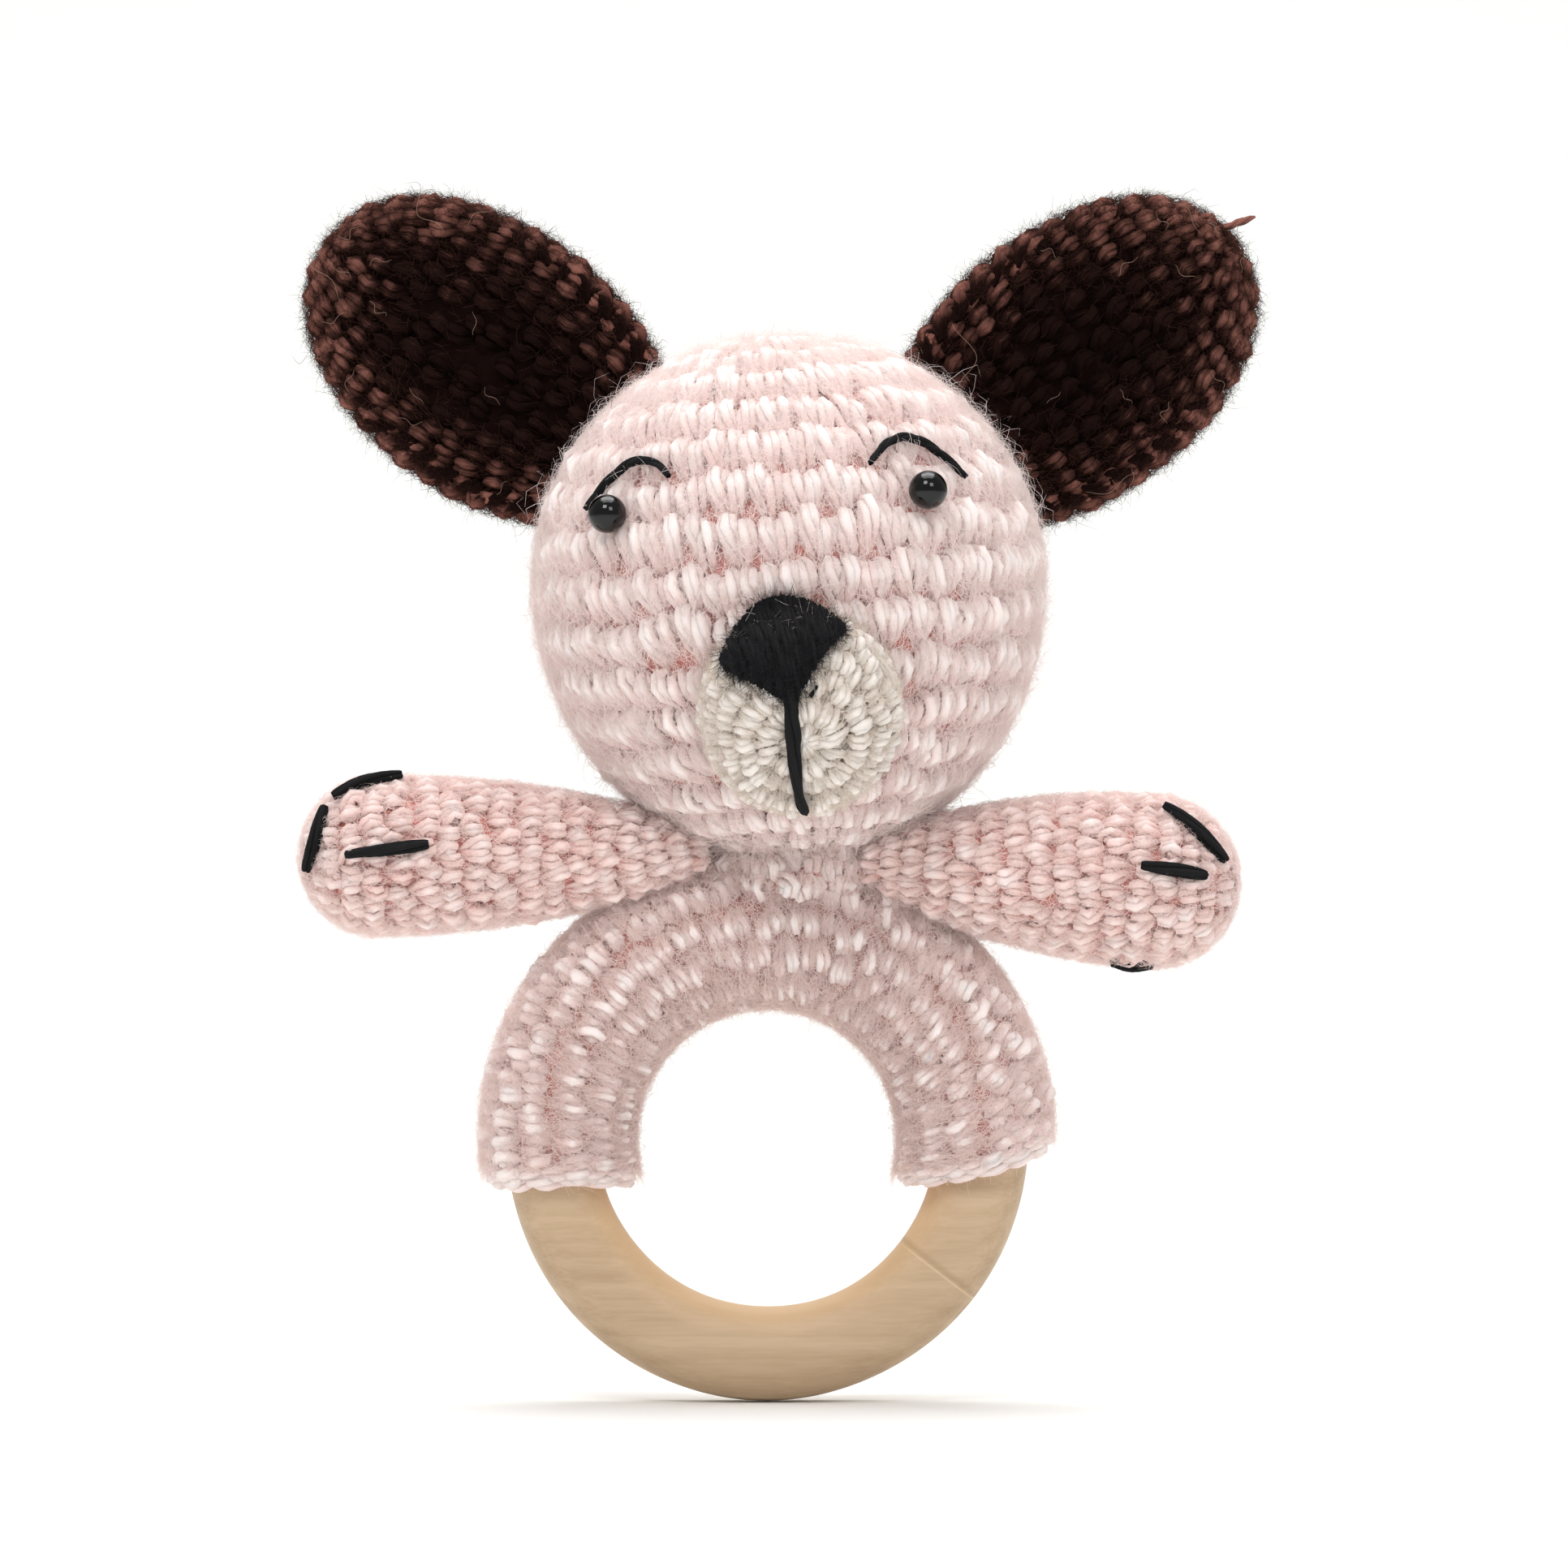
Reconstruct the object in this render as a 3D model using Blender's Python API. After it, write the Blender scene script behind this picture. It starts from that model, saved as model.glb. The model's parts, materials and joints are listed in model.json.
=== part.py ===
"""Crocheted teething ring: a toy dog's head and two stuffed arms on a sleeve round a wooden ring.

Metres, +Z up. The origin is the centre of the wooden ring, whose plane is X-Z, and the face
looks along -Y. Left means -X, the side that a person facing the toy sees on the left.
"""

import math

import bmesh
import bpy
from mathutils import Matrix, Vector

# Fits
GAP = 0.0003  # between pieces that touch
CUT_PAST = 0.0020  # how far a cutter runs past what it cuts

# Wooden ring
RING_OUTER_DIAMETER = 0.0700
RING_INNER_DIAMETER = 0.0450
RING_THICKNESS = 0.0115  # along Y
RING_SQUARENESS = 2.4  # 2 is an ellipse, more is squarer
RING_SEGMENTS = 52
SECTION_SEGMENTS = 12

# Crocheted sleeve round the ring's upper half
SLEEVE_WALL_OUT = 0.0032
SLEEVE_WALL_IN = 0.0047
SLEEVE_WALL_FACE = 0.0034
SLEEVE_SQUARENESS = 2.2
SLEEVE_LEFT_END = math.radians(189)
SLEEVE_RIGHT_END = math.radians(-6)
SLEEVE_SEGMENTS = 28

# Yarns and threads
SEWING_YARN_DIAMETER = 0.0010
BLACK_THREAD_DIAMETER = 0.0012
NECK_YARN_DIAMETER = 0.0014
YARN_SIDES = 1  # bevel_resolution, which makes 6 sides

# Head: an egg, turned about its own axis
NECK_X = 0.0054
NECK_CLEARANCE = 0.0001  # under the point that the head nods about, and over it
HEAD_LEAN = math.radians(4)  # the +X side is higher
HEAD_RADIUS = 0.03425
HEAD_UPPER_HEIGHT = 0.0330
HEAD_LOWER_HEIGHT = 0.0375
COVER_WALL = 0.0030
NECK_OPENING_RADIUS = 0.0120
NECK_HOLLOW = 0.0036  # from the neck opening up to the stuffing
NECK_YARN_RADIUS = 0.0070
HEAD_SEGMENTS = 28
HEAD_LEVELS = 8  # in each half

# Rattle in the head's stuffing
CAPSULE_DIAMETER = 0.0240
CAPSULE_WALL = 0.0010
CAPSULE_DROP = 0.0040  # below the egg's widest level
BOWL_LEVELS = 6
CAPSULE_SEGMENTS = 18
BEAD_DIAMETER = 0.0040
BEAD_COUNT = 4
BEAD_CIRCLE_RADIUS = 0.0034
BEAD_LEVELS = 6
BEAD_SEGMENTS = 10

# Muzzle: a dome on the face
MUZZLE_PLACE = (math.radians(0.7), math.radians(-25.4))  # turn to the right, rise
MUZZLE_HALF_WIDTH = 0.0135
MUZZLE_HALF_HEIGHT = 0.0150
MUZZLE_RISE = 0.0100
MUZZLE_ROOT = 0.0060  # how far the dome's foot runs back before the head cuts it
MUZZLE_WALL = 0.0025
MUZZLE_SQUARENESS = 2.2
MUZZLE_SEGMENTS = 24

# Nose: a satin-stitched pad, the hull of three round corners. A corner's side and rise are
# shares of the muzzle's half width and half height, then comes its radius.
NOSE_CORNERS = (
    (-0.46, 0.62, 0.0032),
    (0.16, 0.68, 0.0032),
    (-0.10, 0.27, 0.0018),
)
NOSE_THICKNESS = 0.0013
NOSE_STEPS = 20

# Mouth: from the nose's lower corner down the dome, as angles below the dome's axis
MOUTH_START = math.radians(-19)
MOUTH_END = math.radians(66)

# Safety eyes, as a turn to the right and a rise on the egg, in degrees
EYE_PLACES = {"left": (-41.5, 16.6), "right": (33.1, 16.8)}
EYE_RADIUS = 0.0025
EYE_RISE = 0.0020  # from the cover to the dome's centre
EYE_FOOT_RADIUS = 0.00175
EYE_SHANK_RADIUS = 0.0010
EYE_SHANK_LENGTH = 0.0080
EYE_HOLE_DEPTH = 0.0048  # through the cover, and its curve
EYE_WASHER_RADIUS = 0.0040
EYE_WASHER_THICKNESS = 0.0014
EYE_SEGMENTS = 14

# Brows: start, peak and end, each as a direction from the eye and a distance from its rim
BROW_ARCS = {
    "left": ((163, 0.0038), (81, 0.0055), (39, 0.0064)),
    "right": ((137, 0.0053), (84, 0.0060), (18, 0.0061)),
}

# Ears: flat, sewn on along the head's outline
EAR_LENGTH = 0.0540
EAR_WIDTH = 0.0364
EAR_THICKNESS = 0.0088
EAR_ROOT_THICKNESS = 0.0050
EAR_ROUNDING = (0.9, 0.45)  # of its width and its thickness: less is blunter
EAR_BACK = 0.0030  # the ear's plane behind the head's axis
EAR_GAP = 0.0019  # from the head to the ear, bridged by the seam yarn
EAR_OVERHANG = {"left": 0.0145, "right": 0.0128}  # from the seam to the ear's middle
EAR_ANGLE = {"left": math.radians(139.5), "right": math.radians(33.5)}
EAR_SEAM_WIDTH = 0.0210
EAR_LEVELS = 14
EAR_SIDES = 16

# Arms, sewn into the crotch between the head and the sleeve
ARM_LENGTH = {"left": 0.0487, "right": 0.0463}
ARM_SLOPE = {"left": math.radians(-1), "right": math.radians(-4)}
PAW_RADIUS = {"left": 0.0107, "right": 0.0116}
ARM_FRONT = 0.0050  # the arms' plane in front of the ring's
ARM_ROOT_RADIUS = 0.0015
ARM_FULLNESS = 0.75  # below 1 the arm thickens early
ARM_PIVOT = 0.0044  # from the root, where the stuffed part bends
ARM_WALL = 0.0020
ARM_SIDES = 16
ARM_LEVELS = 10
PAW_LEVELS = 5
SHOULDER_CLEARANCE = {"left": 0.0072, "right": 0.0010}  # from the neck yarn
SHOULDER_YARN_LENGTH = {"left": 0.0042, "right": 0.0028}
SHOULDER_YARN_DIAMETER = 0.0010

# Claw stitches, as (from the tip along the arm, angle up from the front) of each end
CLAWS = {
    "left": (
        ((0.0140, 74), (0.0048, 58)),
        ((0.0034, 50), (0.0009, -14)),
        ((0.0066, 2), (0.0178, 8)),
    ),
    "right": (
        ((0.0108, 58), (0.0022, 28)),
        ((0.0048, 8), (0.0136, 10)),
        ((0.0108, -80), (0.0170, -80)),
    ),
}

PINK = (0.78, 0.56, 0.53)
BROWN = (0.025, 0.013, 0.011)
WHITE = (0.68, 0.62, 0.57)
BLACK = (0.010, 0.010, 0.011)
FIBREFILL = (0.85, 0.85, 0.83)
BEECH = (0.62, 0.45, 0.28)
CLEAR_PLASTIC = (0.70, 0.72, 0.74)
BEAD_RED = (0.55, 0.08, 0.06)

YARN_ROUGHNESS = 0.9
FILLING_ROUGHNESS = 1.0
WOOD_ROUGHNESS = 0.5
EYE_ROUGHNESS = 0.08
WASHER_ROUGHNESS = 0.5
SHELL_ROUGHNESS = 0.3

SIDES = {"left": -1, "right": 1}
Y, Z = Vector((0, 1, 0)), Vector((0, 0, 1))


# ---------------------------------------------------------------- sizes that follow

RING_MIDDLE = (RING_OUTER_DIAMETER + RING_INNER_DIAMETER) / 4
RING_HALF_WIDTH = (RING_OUTER_DIAMETER - RING_INNER_DIAMETER) / 4
SLEEVE_OUTER = RING_OUTER_DIAMETER / 2 + GAP + SLEEVE_WALL_OUT
SLEEVE_INNER = RING_INNER_DIAMETER / 2 - GAP - SLEEVE_WALL_IN
SLEEVE_HALF_FACE = RING_THICKNESS / 2 + GAP + SLEEVE_WALL_FACE
OPENING_ANGLE = math.acos(NECK_OPENING_RADIUS / HEAD_RADIUS)  # of the neck, below level
OPENING_DEPTH = HEAD_LOWER_HEIGHT * math.sin(OPENING_ANGLE)
HEAD_RISE = OPENING_DEPTH + NECK_OPENING_RADIUS * math.sin(HEAD_LEAN) + NECK_CLEARANCE


def sleeve_top(side, front=0):
    """Height of the sleeve's upper side at this X, and at this distance before the ring's plane."""
    middle = (SLEEVE_OUTER + SLEEVE_INNER) / 2
    share = 1 - (front / SLEEVE_HALF_FACE) ** SLEEVE_SQUARENESS
    radius = middle + (SLEEVE_OUTER - middle) * share ** (1 / SLEEVE_SQUARENESS)
    return math.sqrt(radius**2 - side**2)


NECK_Z = sleeve_top(0) + NECK_CLEARANCE
HEAD_FRAME = Matrix.Translation((NECK_X, 0, NECK_Z)) @ Matrix.Rotation(-HEAD_LEAN, 4, "Y")


# ---------------------------------------------------------------- making objects


def clear_scene():
    for obj in list(bpy.data.objects):
        bpy.data.objects.remove(obj, do_unlink=True)


def material_for(name, colour, roughness):
    material = bpy.data.materials.new(name + "_material")
    material.use_nodes = True
    shader = material.node_tree.nodes["Principled BSDF"]
    shader.inputs["Base Color"].default_value = (*colour, 1)
    shader.inputs["Roughness"].default_value = roughness
    shader.inputs["Metallic"].default_value = 0
    material.diffuse_color = (*colour, 1)
    return material


def add_empty(name, matrix, parent=None):
    empty = bpy.data.objects.new(name, None)
    empty.empty_display_size = 0.01
    bpy.context.scene.collection.objects.link(empty)
    place(empty, matrix, parent)
    return empty


def place(obj, matrix, parent):
    obj.parent = parent
    obj.matrix_basis = matrix


def add_piece(name, data, colour, roughness=YARN_ROUGHNESS, parent=None, at=None):
    """One named object with its own material, at a matrix under its parent."""
    obj = bpy.data.objects.new(name, data)
    bpy.context.scene.collection.objects.link(obj)
    data.materials.append(material_for(name, colour, roughness))
    place(obj, at or Matrix(), parent)
    return obj


def add_cutter(name, data, parent=None, at=None):
    obj = bpy.data.objects.new(name, data)
    bpy.context.scene.collection.objects.link(obj)
    obj.hide_render = True
    obj.display_type = "WIRE"
    place(obj, at or Matrix(), parent)
    return obj


def cut(obj, cutter, operation="DIFFERENCE"):
    modifier = obj.modifiers.new(operation.lower() + "_" + cutter.name, "BOOLEAN")
    modifier.operation = operation
    modifier.solver = "EXACT"
    modifier.object = cutter


def skin(name, rows, closed=False):
    """A closed mesh over rings of points. A ring of one point is a pole.

    Open stacks are capped at an end that isn't a pole; closed=True joins the last ring to
    the first.
    """
    mesh = bpy.data.meshes.new(name)
    bm = bmesh.new()
    rings = [[bm.verts.new(point) for point in row] for row in rows]
    pairs = list(zip(rings, rings[1:]))
    if closed:
        pairs.append((rings[-1], rings[0]))
    for low, high in pairs:
        count = max(len(low), len(high))
        for i in range(count):
            j = (i + 1) % count
            if len(low) == 1:
                bm.faces.new((low[0], high[j], high[i]))
            elif len(high) == 1:
                bm.faces.new((low[i], low[j], high[0]))
            else:
                bm.faces.new((low[i], low[j], high[j], high[i]))
    if not closed:
        for ring in (rings[0], rings[-1]):
            if len(ring) > 2:
                bm.faces.new(ring)
    bmesh.ops.recalc_face_normals(bm, faces=bm.faces)
    bm.to_mesh(mesh)
    bm.free()
    mesh.shade_smooth()
    mesh.set_sharp_from_angle(angle=math.radians(40))
    return mesh


def turned(name, profile, segments, closed=False):
    """A mesh turned about Z from (radius, height) points; a radius of 0 is a pole."""
    rows = []
    for radius, height in profile:
        if radius < 1e-7:
            rows.append([Vector((0, 0, height))])
            continue
        turns = [math.tau * i / segments for i in range(segments)]
        rows.append([Vector((radius * math.cos(t), radius * math.sin(t), height)) for t in turns])
    return skin(name, rows, closed)


def yarn(name, points, diameter, colour, parent=None, at=None, loop=False):
    """A round yarn through these points."""
    curve = bpy.data.curves.new(name, "CURVE")
    curve.dimensions = "3D"
    curve.bevel_depth = diameter / 2
    curve.bevel_resolution = YARN_SIDES
    curve.use_fill_caps = not loop
    spline = curve.splines.new("POLY")
    spline.points.add(len(points) - 1)
    for slot, point in zip(spline.points, points):
        slot.co = (*point, 1)
    spline.use_cyclic_u = loop
    return add_piece(name, curve, colour, parent=parent, at=at)


def facing(origin, direction):
    """A frame at a point with its Z along a direction and its X level."""
    z = direction.normalized()
    x = Z.cross(z).normalized()
    return Matrix.Translation(origin) @ Matrix((x, z.cross(x), z)).transposed().to_4x4()


# ---------------------------------------------------------------- wooden ring and sleeve


def superellipse(angle, half_a, half_b, squareness):
    power = 2 / squareness
    cos, sin = math.cos(angle), math.sin(angle)
    return (
        half_a * math.copysign(abs(cos) ** power, cos),
        half_b * math.copysign(abs(sin) ** power, sin),
    )


def round_section(turn, middle, half_width, half_face, squareness):
    """One section of a ring in the X-Z plane, at an angle from +X."""
    out = Vector((math.cos(turn), 0, math.sin(turn)))
    points = []
    for i in range(SECTION_SEGMENTS):
        angle = math.tau * i / SECTION_SEGMENTS
        across, along = superellipse(angle, half_width, half_face, squareness)
        points.append(out * (middle + across) + Y * along)
    return points


def make_wooden_ring():
    rows = [
        round_section(
            math.tau * i / RING_SEGMENTS,
            RING_MIDDLE,
            RING_HALF_WIDTH,
            RING_THICKNESS / 2,
            RING_SQUARENESS,
        )
        for i in range(RING_SEGMENTS)
    ]
    add_piece("wooden_ring", skin("wooden_ring", rows, closed=True), BEECH, WOOD_ROUGHNESS)


def make_sleeve():
    """A tunnel round the ring: its outer skin out and its inner skin back."""
    turns = [
        SLEEVE_RIGHT_END + (SLEEVE_LEFT_END - SLEEVE_RIGHT_END) * i / SLEEVE_SEGMENTS
        for i in range(SLEEVE_SEGMENTS + 1)
    ]
    middle = (SLEEVE_OUTER + SLEEVE_INNER) / 2
    half = (SLEEVE_OUTER - SLEEVE_INNER) / 2
    outer = [
        round_section(turn, middle, half, SLEEVE_HALF_FACE, SLEEVE_SQUARENESS) for turn in turns
    ]
    inner = [
        round_section(
            turn,
            RING_MIDDLE,
            RING_HALF_WIDTH + GAP,
            RING_THICKNESS / 2 + GAP,
            RING_SQUARENESS,
        )
        for turn in turns
    ]
    rows = outer + inner[::-1]
    add_piece("ring_sleeve", skin("ring_sleeve", rows, closed=True), PINK)
    lift = SLEEVE_HALF_FACE + GAP + SEWING_YARN_DIAMETER / 2
    seam = [
        Vector((middle * math.cos(turn), lift, middle * math.sin(turn)))
        for turn in turns[2:-2]
    ]
    yarn("sleeve_seam_yarn", seam, SEWING_YARN_DIAMETER, PINK)


# ---------------------------------------------------------------- head


def egg_height(up):
    return HEAD_UPPER_HEIGHT if up > 0 else HEAD_LOWER_HEIGHT


def egg_profile(lift, stop=OPENING_ANGLE):
    """(radius, height) from the top pole down to an angle below level."""
    angles = [math.pi / 2 * (1 - i / HEAD_LEVELS) for i in range(HEAD_LEVELS)]
    angles += [-stop * i / HEAD_LEVELS for i in range(HEAD_LEVELS + 1)]
    radius = HEAD_RADIUS + lift
    return [(radius * math.cos(a), (egg_height(a) + lift) * math.sin(a)) for a in angles]


def closed_egg(lift):
    """The whole egg's profile, from pole to pole."""
    return egg_profile(lift, math.pi / 2)


def on_head(point, direction, lift):
    """Where a line from outside first meets the head, enlarged by lift."""

    def outside(p):
        return (
            (p.x**2 + p.y**2) / (HEAD_RADIUS + lift) ** 2
            + (p.z / (egg_height(p.z) + lift)) ** 2
            - 1
        )

    direction = direction.normalized()
    near, far = 0.0, -point.dot(direction)  # from the start to where the line passes the middle
    for _ in range(40):
        middle = (near + far) / 2
        if outside(point + direction * middle) > 0:
            near = middle
        else:
            far = middle
    return point + direction * far


def face_point(turn, rise):
    """A point on the head at a turn to the right of the front and a rise above level."""
    across = HEAD_RADIUS * math.cos(rise)
    up = egg_height(rise) * math.sin(rise)
    return Vector((across * math.sin(turn), -across * math.cos(turn), up))


def head_normal(point):
    height = egg_height(point.z)
    return Vector(
        (point.x / HEAD_RADIUS**2, point.y / HEAD_RADIUS**2, point.z / height**2)
    ).normalized()


def make_head_cover(frame):
    outer = egg_profile(0)
    inner = egg_profile(-COVER_WALL)
    mesh = turned("head_cover", outer + inner[::-1], HEAD_SEGMENTS)
    return add_piece("head_cover", mesh, PINK, parent=frame)


def make_head_stuffing(frame):
    """Two halves of fibre filling, each with a bowl for the rattle capsule."""
    lift = -COVER_WALL - GAP
    bowl = CAPSULE_DIAMETER / 2 + GAP
    floor = NECK_HOLLOW - OPENING_DEPTH
    parting = -CAPSULE_DROP

    def radius_at_height(height):
        return (HEAD_RADIUS + lift) * math.sqrt(1 - (height / (egg_height(height) + lift)) ** 2)

    body = closed_egg(lift)
    angles = [math.pi / 2 * i / BOWL_LEVELS for i in range(BOWL_LEVELS + 1)]
    upper = [point for point in body if point[1] > parting + GAP]
    upper.append((radius_at_height(parting), parting + GAP / 2))
    upper += [(bowl * math.cos(a), parting + GAP / 2 + bowl * math.sin(a)) for a in angles]
    lower = [(bowl * math.sin(a), parting - GAP / 2 - bowl * math.cos(a)) for a in angles]
    lower.append((radius_at_height(parting), parting - GAP / 2))
    lower += [point for point in body if floor + GAP < point[1] < parting - GAP]
    lower += [(radius_at_height(floor), floor), (0, floor)]
    pieces = {}
    for name, profile in (("head_stuffing_upper", upper), ("head_stuffing_lower", lower)):
        mesh = turned(name, profile, HEAD_SEGMENTS)
        pieces[name] = add_piece(name, mesh, FIBREFILL, FILLING_ROUGHNESS, parent=frame)
    return pieces["head_stuffing_upper"]


def make_rattle(frame):
    """Two half shells with loose beads lying on the lower one."""
    outer = CAPSULE_DIAMETER / 2
    inner = outer - CAPSULE_WALL
    angles = [math.pi / 2 * i / BOWL_LEVELS for i in range(BOWL_LEVELS + 1)]
    at = Matrix.Translation((0, 0, -CAPSULE_DROP))
    for name, way in (("rattle_capsule_upper", 1), ("rattle_capsule_lower", -1)):
        outside = [(outer * math.sin(a), way * (outer * math.cos(a) + GAP / 2)) for a in angles]
        inside = [(inner * math.sin(a), way * (inner * math.cos(a) + GAP / 2)) for a in angles]
        mesh = turned(name, outside + inside[::-1], CAPSULE_SEGMENTS)
        add_piece(name, mesh, CLEAR_PLASTIC, SHELL_ROUGHNESS, parent=frame, at=at)
    reach = inner - BEAD_DIAMETER / 2 - GAP
    drop = math.sqrt(reach**2 - BEAD_CIRCLE_RADIUS**2)
    for i in range(BEAD_COUNT):
        turn = math.tau * (i + 0.5) / BEAD_COUNT
        levels = [math.pi * (0.5 - k / BEAD_LEVELS) for k in range(BEAD_LEVELS + 1)]
        radius = BEAD_DIAMETER / 2
        profile = [(radius * math.cos(a), radius * math.sin(a)) for a in levels]
        spot = Matrix.Translation(
            (
                BEAD_CIRCLE_RADIUS * math.cos(turn),
                BEAD_CIRCLE_RADIUS * math.sin(turn),
                -CAPSULE_DROP - drop,
            )
        )
        name = f"rattle_bead_{i + 1}"
        mesh = turned(name, profile, BEAD_SEGMENTS)
        add_piece(name, mesh, BEAD_RED, SHELL_ROUGHNESS, parent=frame, at=spot)


def eye_frame(side):
    seat = face_point(*(math.radians(angle) for angle in EYE_PLACES[side]))
    return facing(seat, head_normal(seat))


def make_eye(side, frame, cover, stuffing):
    """A domed bead with a shank through the cover, held by a washer inside."""
    at = eye_frame(side)
    dome = [math.pi / 2 - i * math.radians(24) for i in range(6)]
    lift = GAP + EYE_RISE
    profile = [(EYE_RADIUS * math.cos(a), lift + EYE_RADIUS * math.sin(a)) for a in dome]
    profile[-1] = (EYE_FOOT_RADIUS, GAP)
    profile.append((EYE_SHANK_RADIUS, GAP))
    profile.append((EYE_SHANK_RADIUS, -EYE_SHANK_LENGTH))
    profile.append((0, -EYE_SHANK_LENGTH))
    mesh = turned(f"{side}_eye", profile, EYE_SEGMENTS)
    add_piece(f"{side}_eye", mesh, BLACK, EYE_ROUGHNESS, parent=frame, at=at)

    inside = (HEAD_RADIUS - COVER_WALL, HEAD_UPPER_HEIGHT - COVER_WALL)
    tightest = min(inside[0], inside[1] ** 2 / inside[0])  # radius of the cover's curve here
    hollow = EYE_WASHER_RADIUS**2 / (2 * tightest)
    front = -COVER_WALL - hollow - GAP
    back = front - EYE_WASHER_THICKNESS
    hole = EYE_SHANK_RADIUS + GAP
    profile = [(hole, front), (EYE_WASHER_RADIUS, front), (EYE_WASHER_RADIUS, back), (hole, back)]
    name = f"{side}_eye_washer"
    mesh = turned(name, profile, EYE_SEGMENTS, closed=True)
    add_piece(name, mesh, BLACK, WASHER_ROUGHNESS, parent=frame, at=at)

    for target, radius, deep in (
        (cover, hole, -EYE_HOLE_DEPTH),
        (stuffing, EYE_WASHER_RADIUS + GAP, -EYE_SHANK_LENGTH - GAP),
    ):
        profile = [(0, EYE_RADIUS), (radius, EYE_RADIUS), (radius, deep), (0, deep)]
        name = f"{side}_eye_cutter_{target.name}"
        mesh = turned(name, profile, EYE_SEGMENTS)
        cut(target, add_cutter(name, mesh, parent=frame, at=at))


def make_brow(side, frame):
    eye = eye_frame(side)
    ends = []
    for direction, distance in BROW_ARCS[side]:
        turn = math.radians(direction)
        reach = EYE_RADIUS + distance
        ends.append(eye @ Vector((reach * math.cos(turn), reach * math.sin(turn), EYE_RADIUS)))
    start, peak, end = ends
    lift = GAP + BLACK_THREAD_DIAMETER / 2
    handle = 2 * peak - (start + end) / 2
    inwards = -(eye.to_3x3() @ Z)
    points = []
    for i in range(9):
        t = i / 8
        spot = start * (1 - t) ** 2 + handle * 2 * t * (1 - t) + end * t**2
        points.append(on_head(spot, inwards, lift))
    yarn(f"{side}_brow_stitch", points, BLACK_THREAD_DIAMETER, BLACK, parent=frame)


# ---------------------------------------------------------------- muzzle, nose and mouth


def dome_level(angle, lift):
    """Share of the half width, and height, of the muzzle at an angle from its axis."""
    across, along = superellipse(math.pi / 2 - angle, 1, MUZZLE_RISE + lift, MUZZLE_SQUARENESS)
    return max(across, 0), along


def dome_mesh(name, lift, root):
    """The muzzle's dome about +Z, on a straight foot that runs back by root."""
    half_width = MUZZLE_HALF_WIDTH + lift
    half_height = MUZZLE_HALF_HEIGHT + lift
    rows = []
    levels = [dome_level(math.pi / 2 * i / 7, lift) for i in range(1, 8)] + [(1, -root)]
    for share, height in levels:
        turns = [math.tau * i / MUZZLE_SEGMENTS for i in range(MUZZLE_SEGMENTS)]
        rows.append(
            [
                Vector((share * half_width * math.cos(t), share * half_height * math.sin(t), height))
                for t in turns
            ]
        )
    return skin(name, [[Vector((0, 0, MUZZLE_RISE + lift))]] + rows)


def make_muzzle(frame):
    base = face_point(*MUZZLE_PLACE)
    at = facing(base, head_normal(base))
    head_mesh = turned("head_cutter", closed_egg(GAP), HEAD_SEGMENTS)
    head_cutter = add_cutter("head_cutter", head_mesh, parent=frame)

    inner = add_cutter(
        "muzzle_cavity_cutter",
        dome_mesh("muzzle_cavity_cutter", -MUZZLE_WALL, MUZZLE_ROOT + CUT_PAST),
        parent=frame,
        at=at,
    )
    cover = add_piece(
        "muzzle_cover", dome_mesh("muzzle_cover", 0, MUZZLE_ROOT), WHITE, parent=frame, at=at
    )
    cut(cover, inner)
    cut(cover, head_cutter)
    stuffing = add_piece(
        "muzzle_stuffing",
        dome_mesh("muzzle_stuffing", -MUZZLE_WALL - GAP, MUZZLE_ROOT),
        FIBREFILL,
        FILLING_ROUGHNESS,
        parent=frame,
        at=at,
    )
    cut(stuffing, head_cutter)

    around = []
    reach = GAP + SEWING_YARN_DIAMETER / 2
    for i in range(MUZZLE_SEGMENTS):
        turn = math.tau * i / MUZZLE_SEGMENTS
        start = Vector(
            (
                (MUZZLE_HALF_WIDTH + reach) * math.cos(turn),
                (MUZZLE_HALF_HEIGHT + reach) * math.sin(turn),
                MUZZLE_RISE,
            )
        )
        around.append(on_head(at @ start, -head_normal(base), reach))
    yarn("muzzle_seam_yarn", around, SEWING_YARN_DIAMETER, WHITE, parent=frame, loop=True)

    make_nose(frame, at, base)
    lift = GAP + BLACK_THREAD_DIAMETER / 2
    points = []
    for i in range(13):
        way = i / 12
        angle = MOUTH_START + (MOUTH_END - MOUTH_START) * way
        share, height = dome_level(abs(angle), lift)
        down = math.copysign(share, angle) * (MUZZLE_HALF_HEIGHT + lift)
        side = NOSE_CORNERS[2][0] * MUZZLE_HALF_WIDTH * (1 - way)
        points.append(at @ Vector((side, -down, height)))
    yarn("mouth_stitch", points, BLACK_THREAD_DIAMETER, BLACK, parent=frame)


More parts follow.
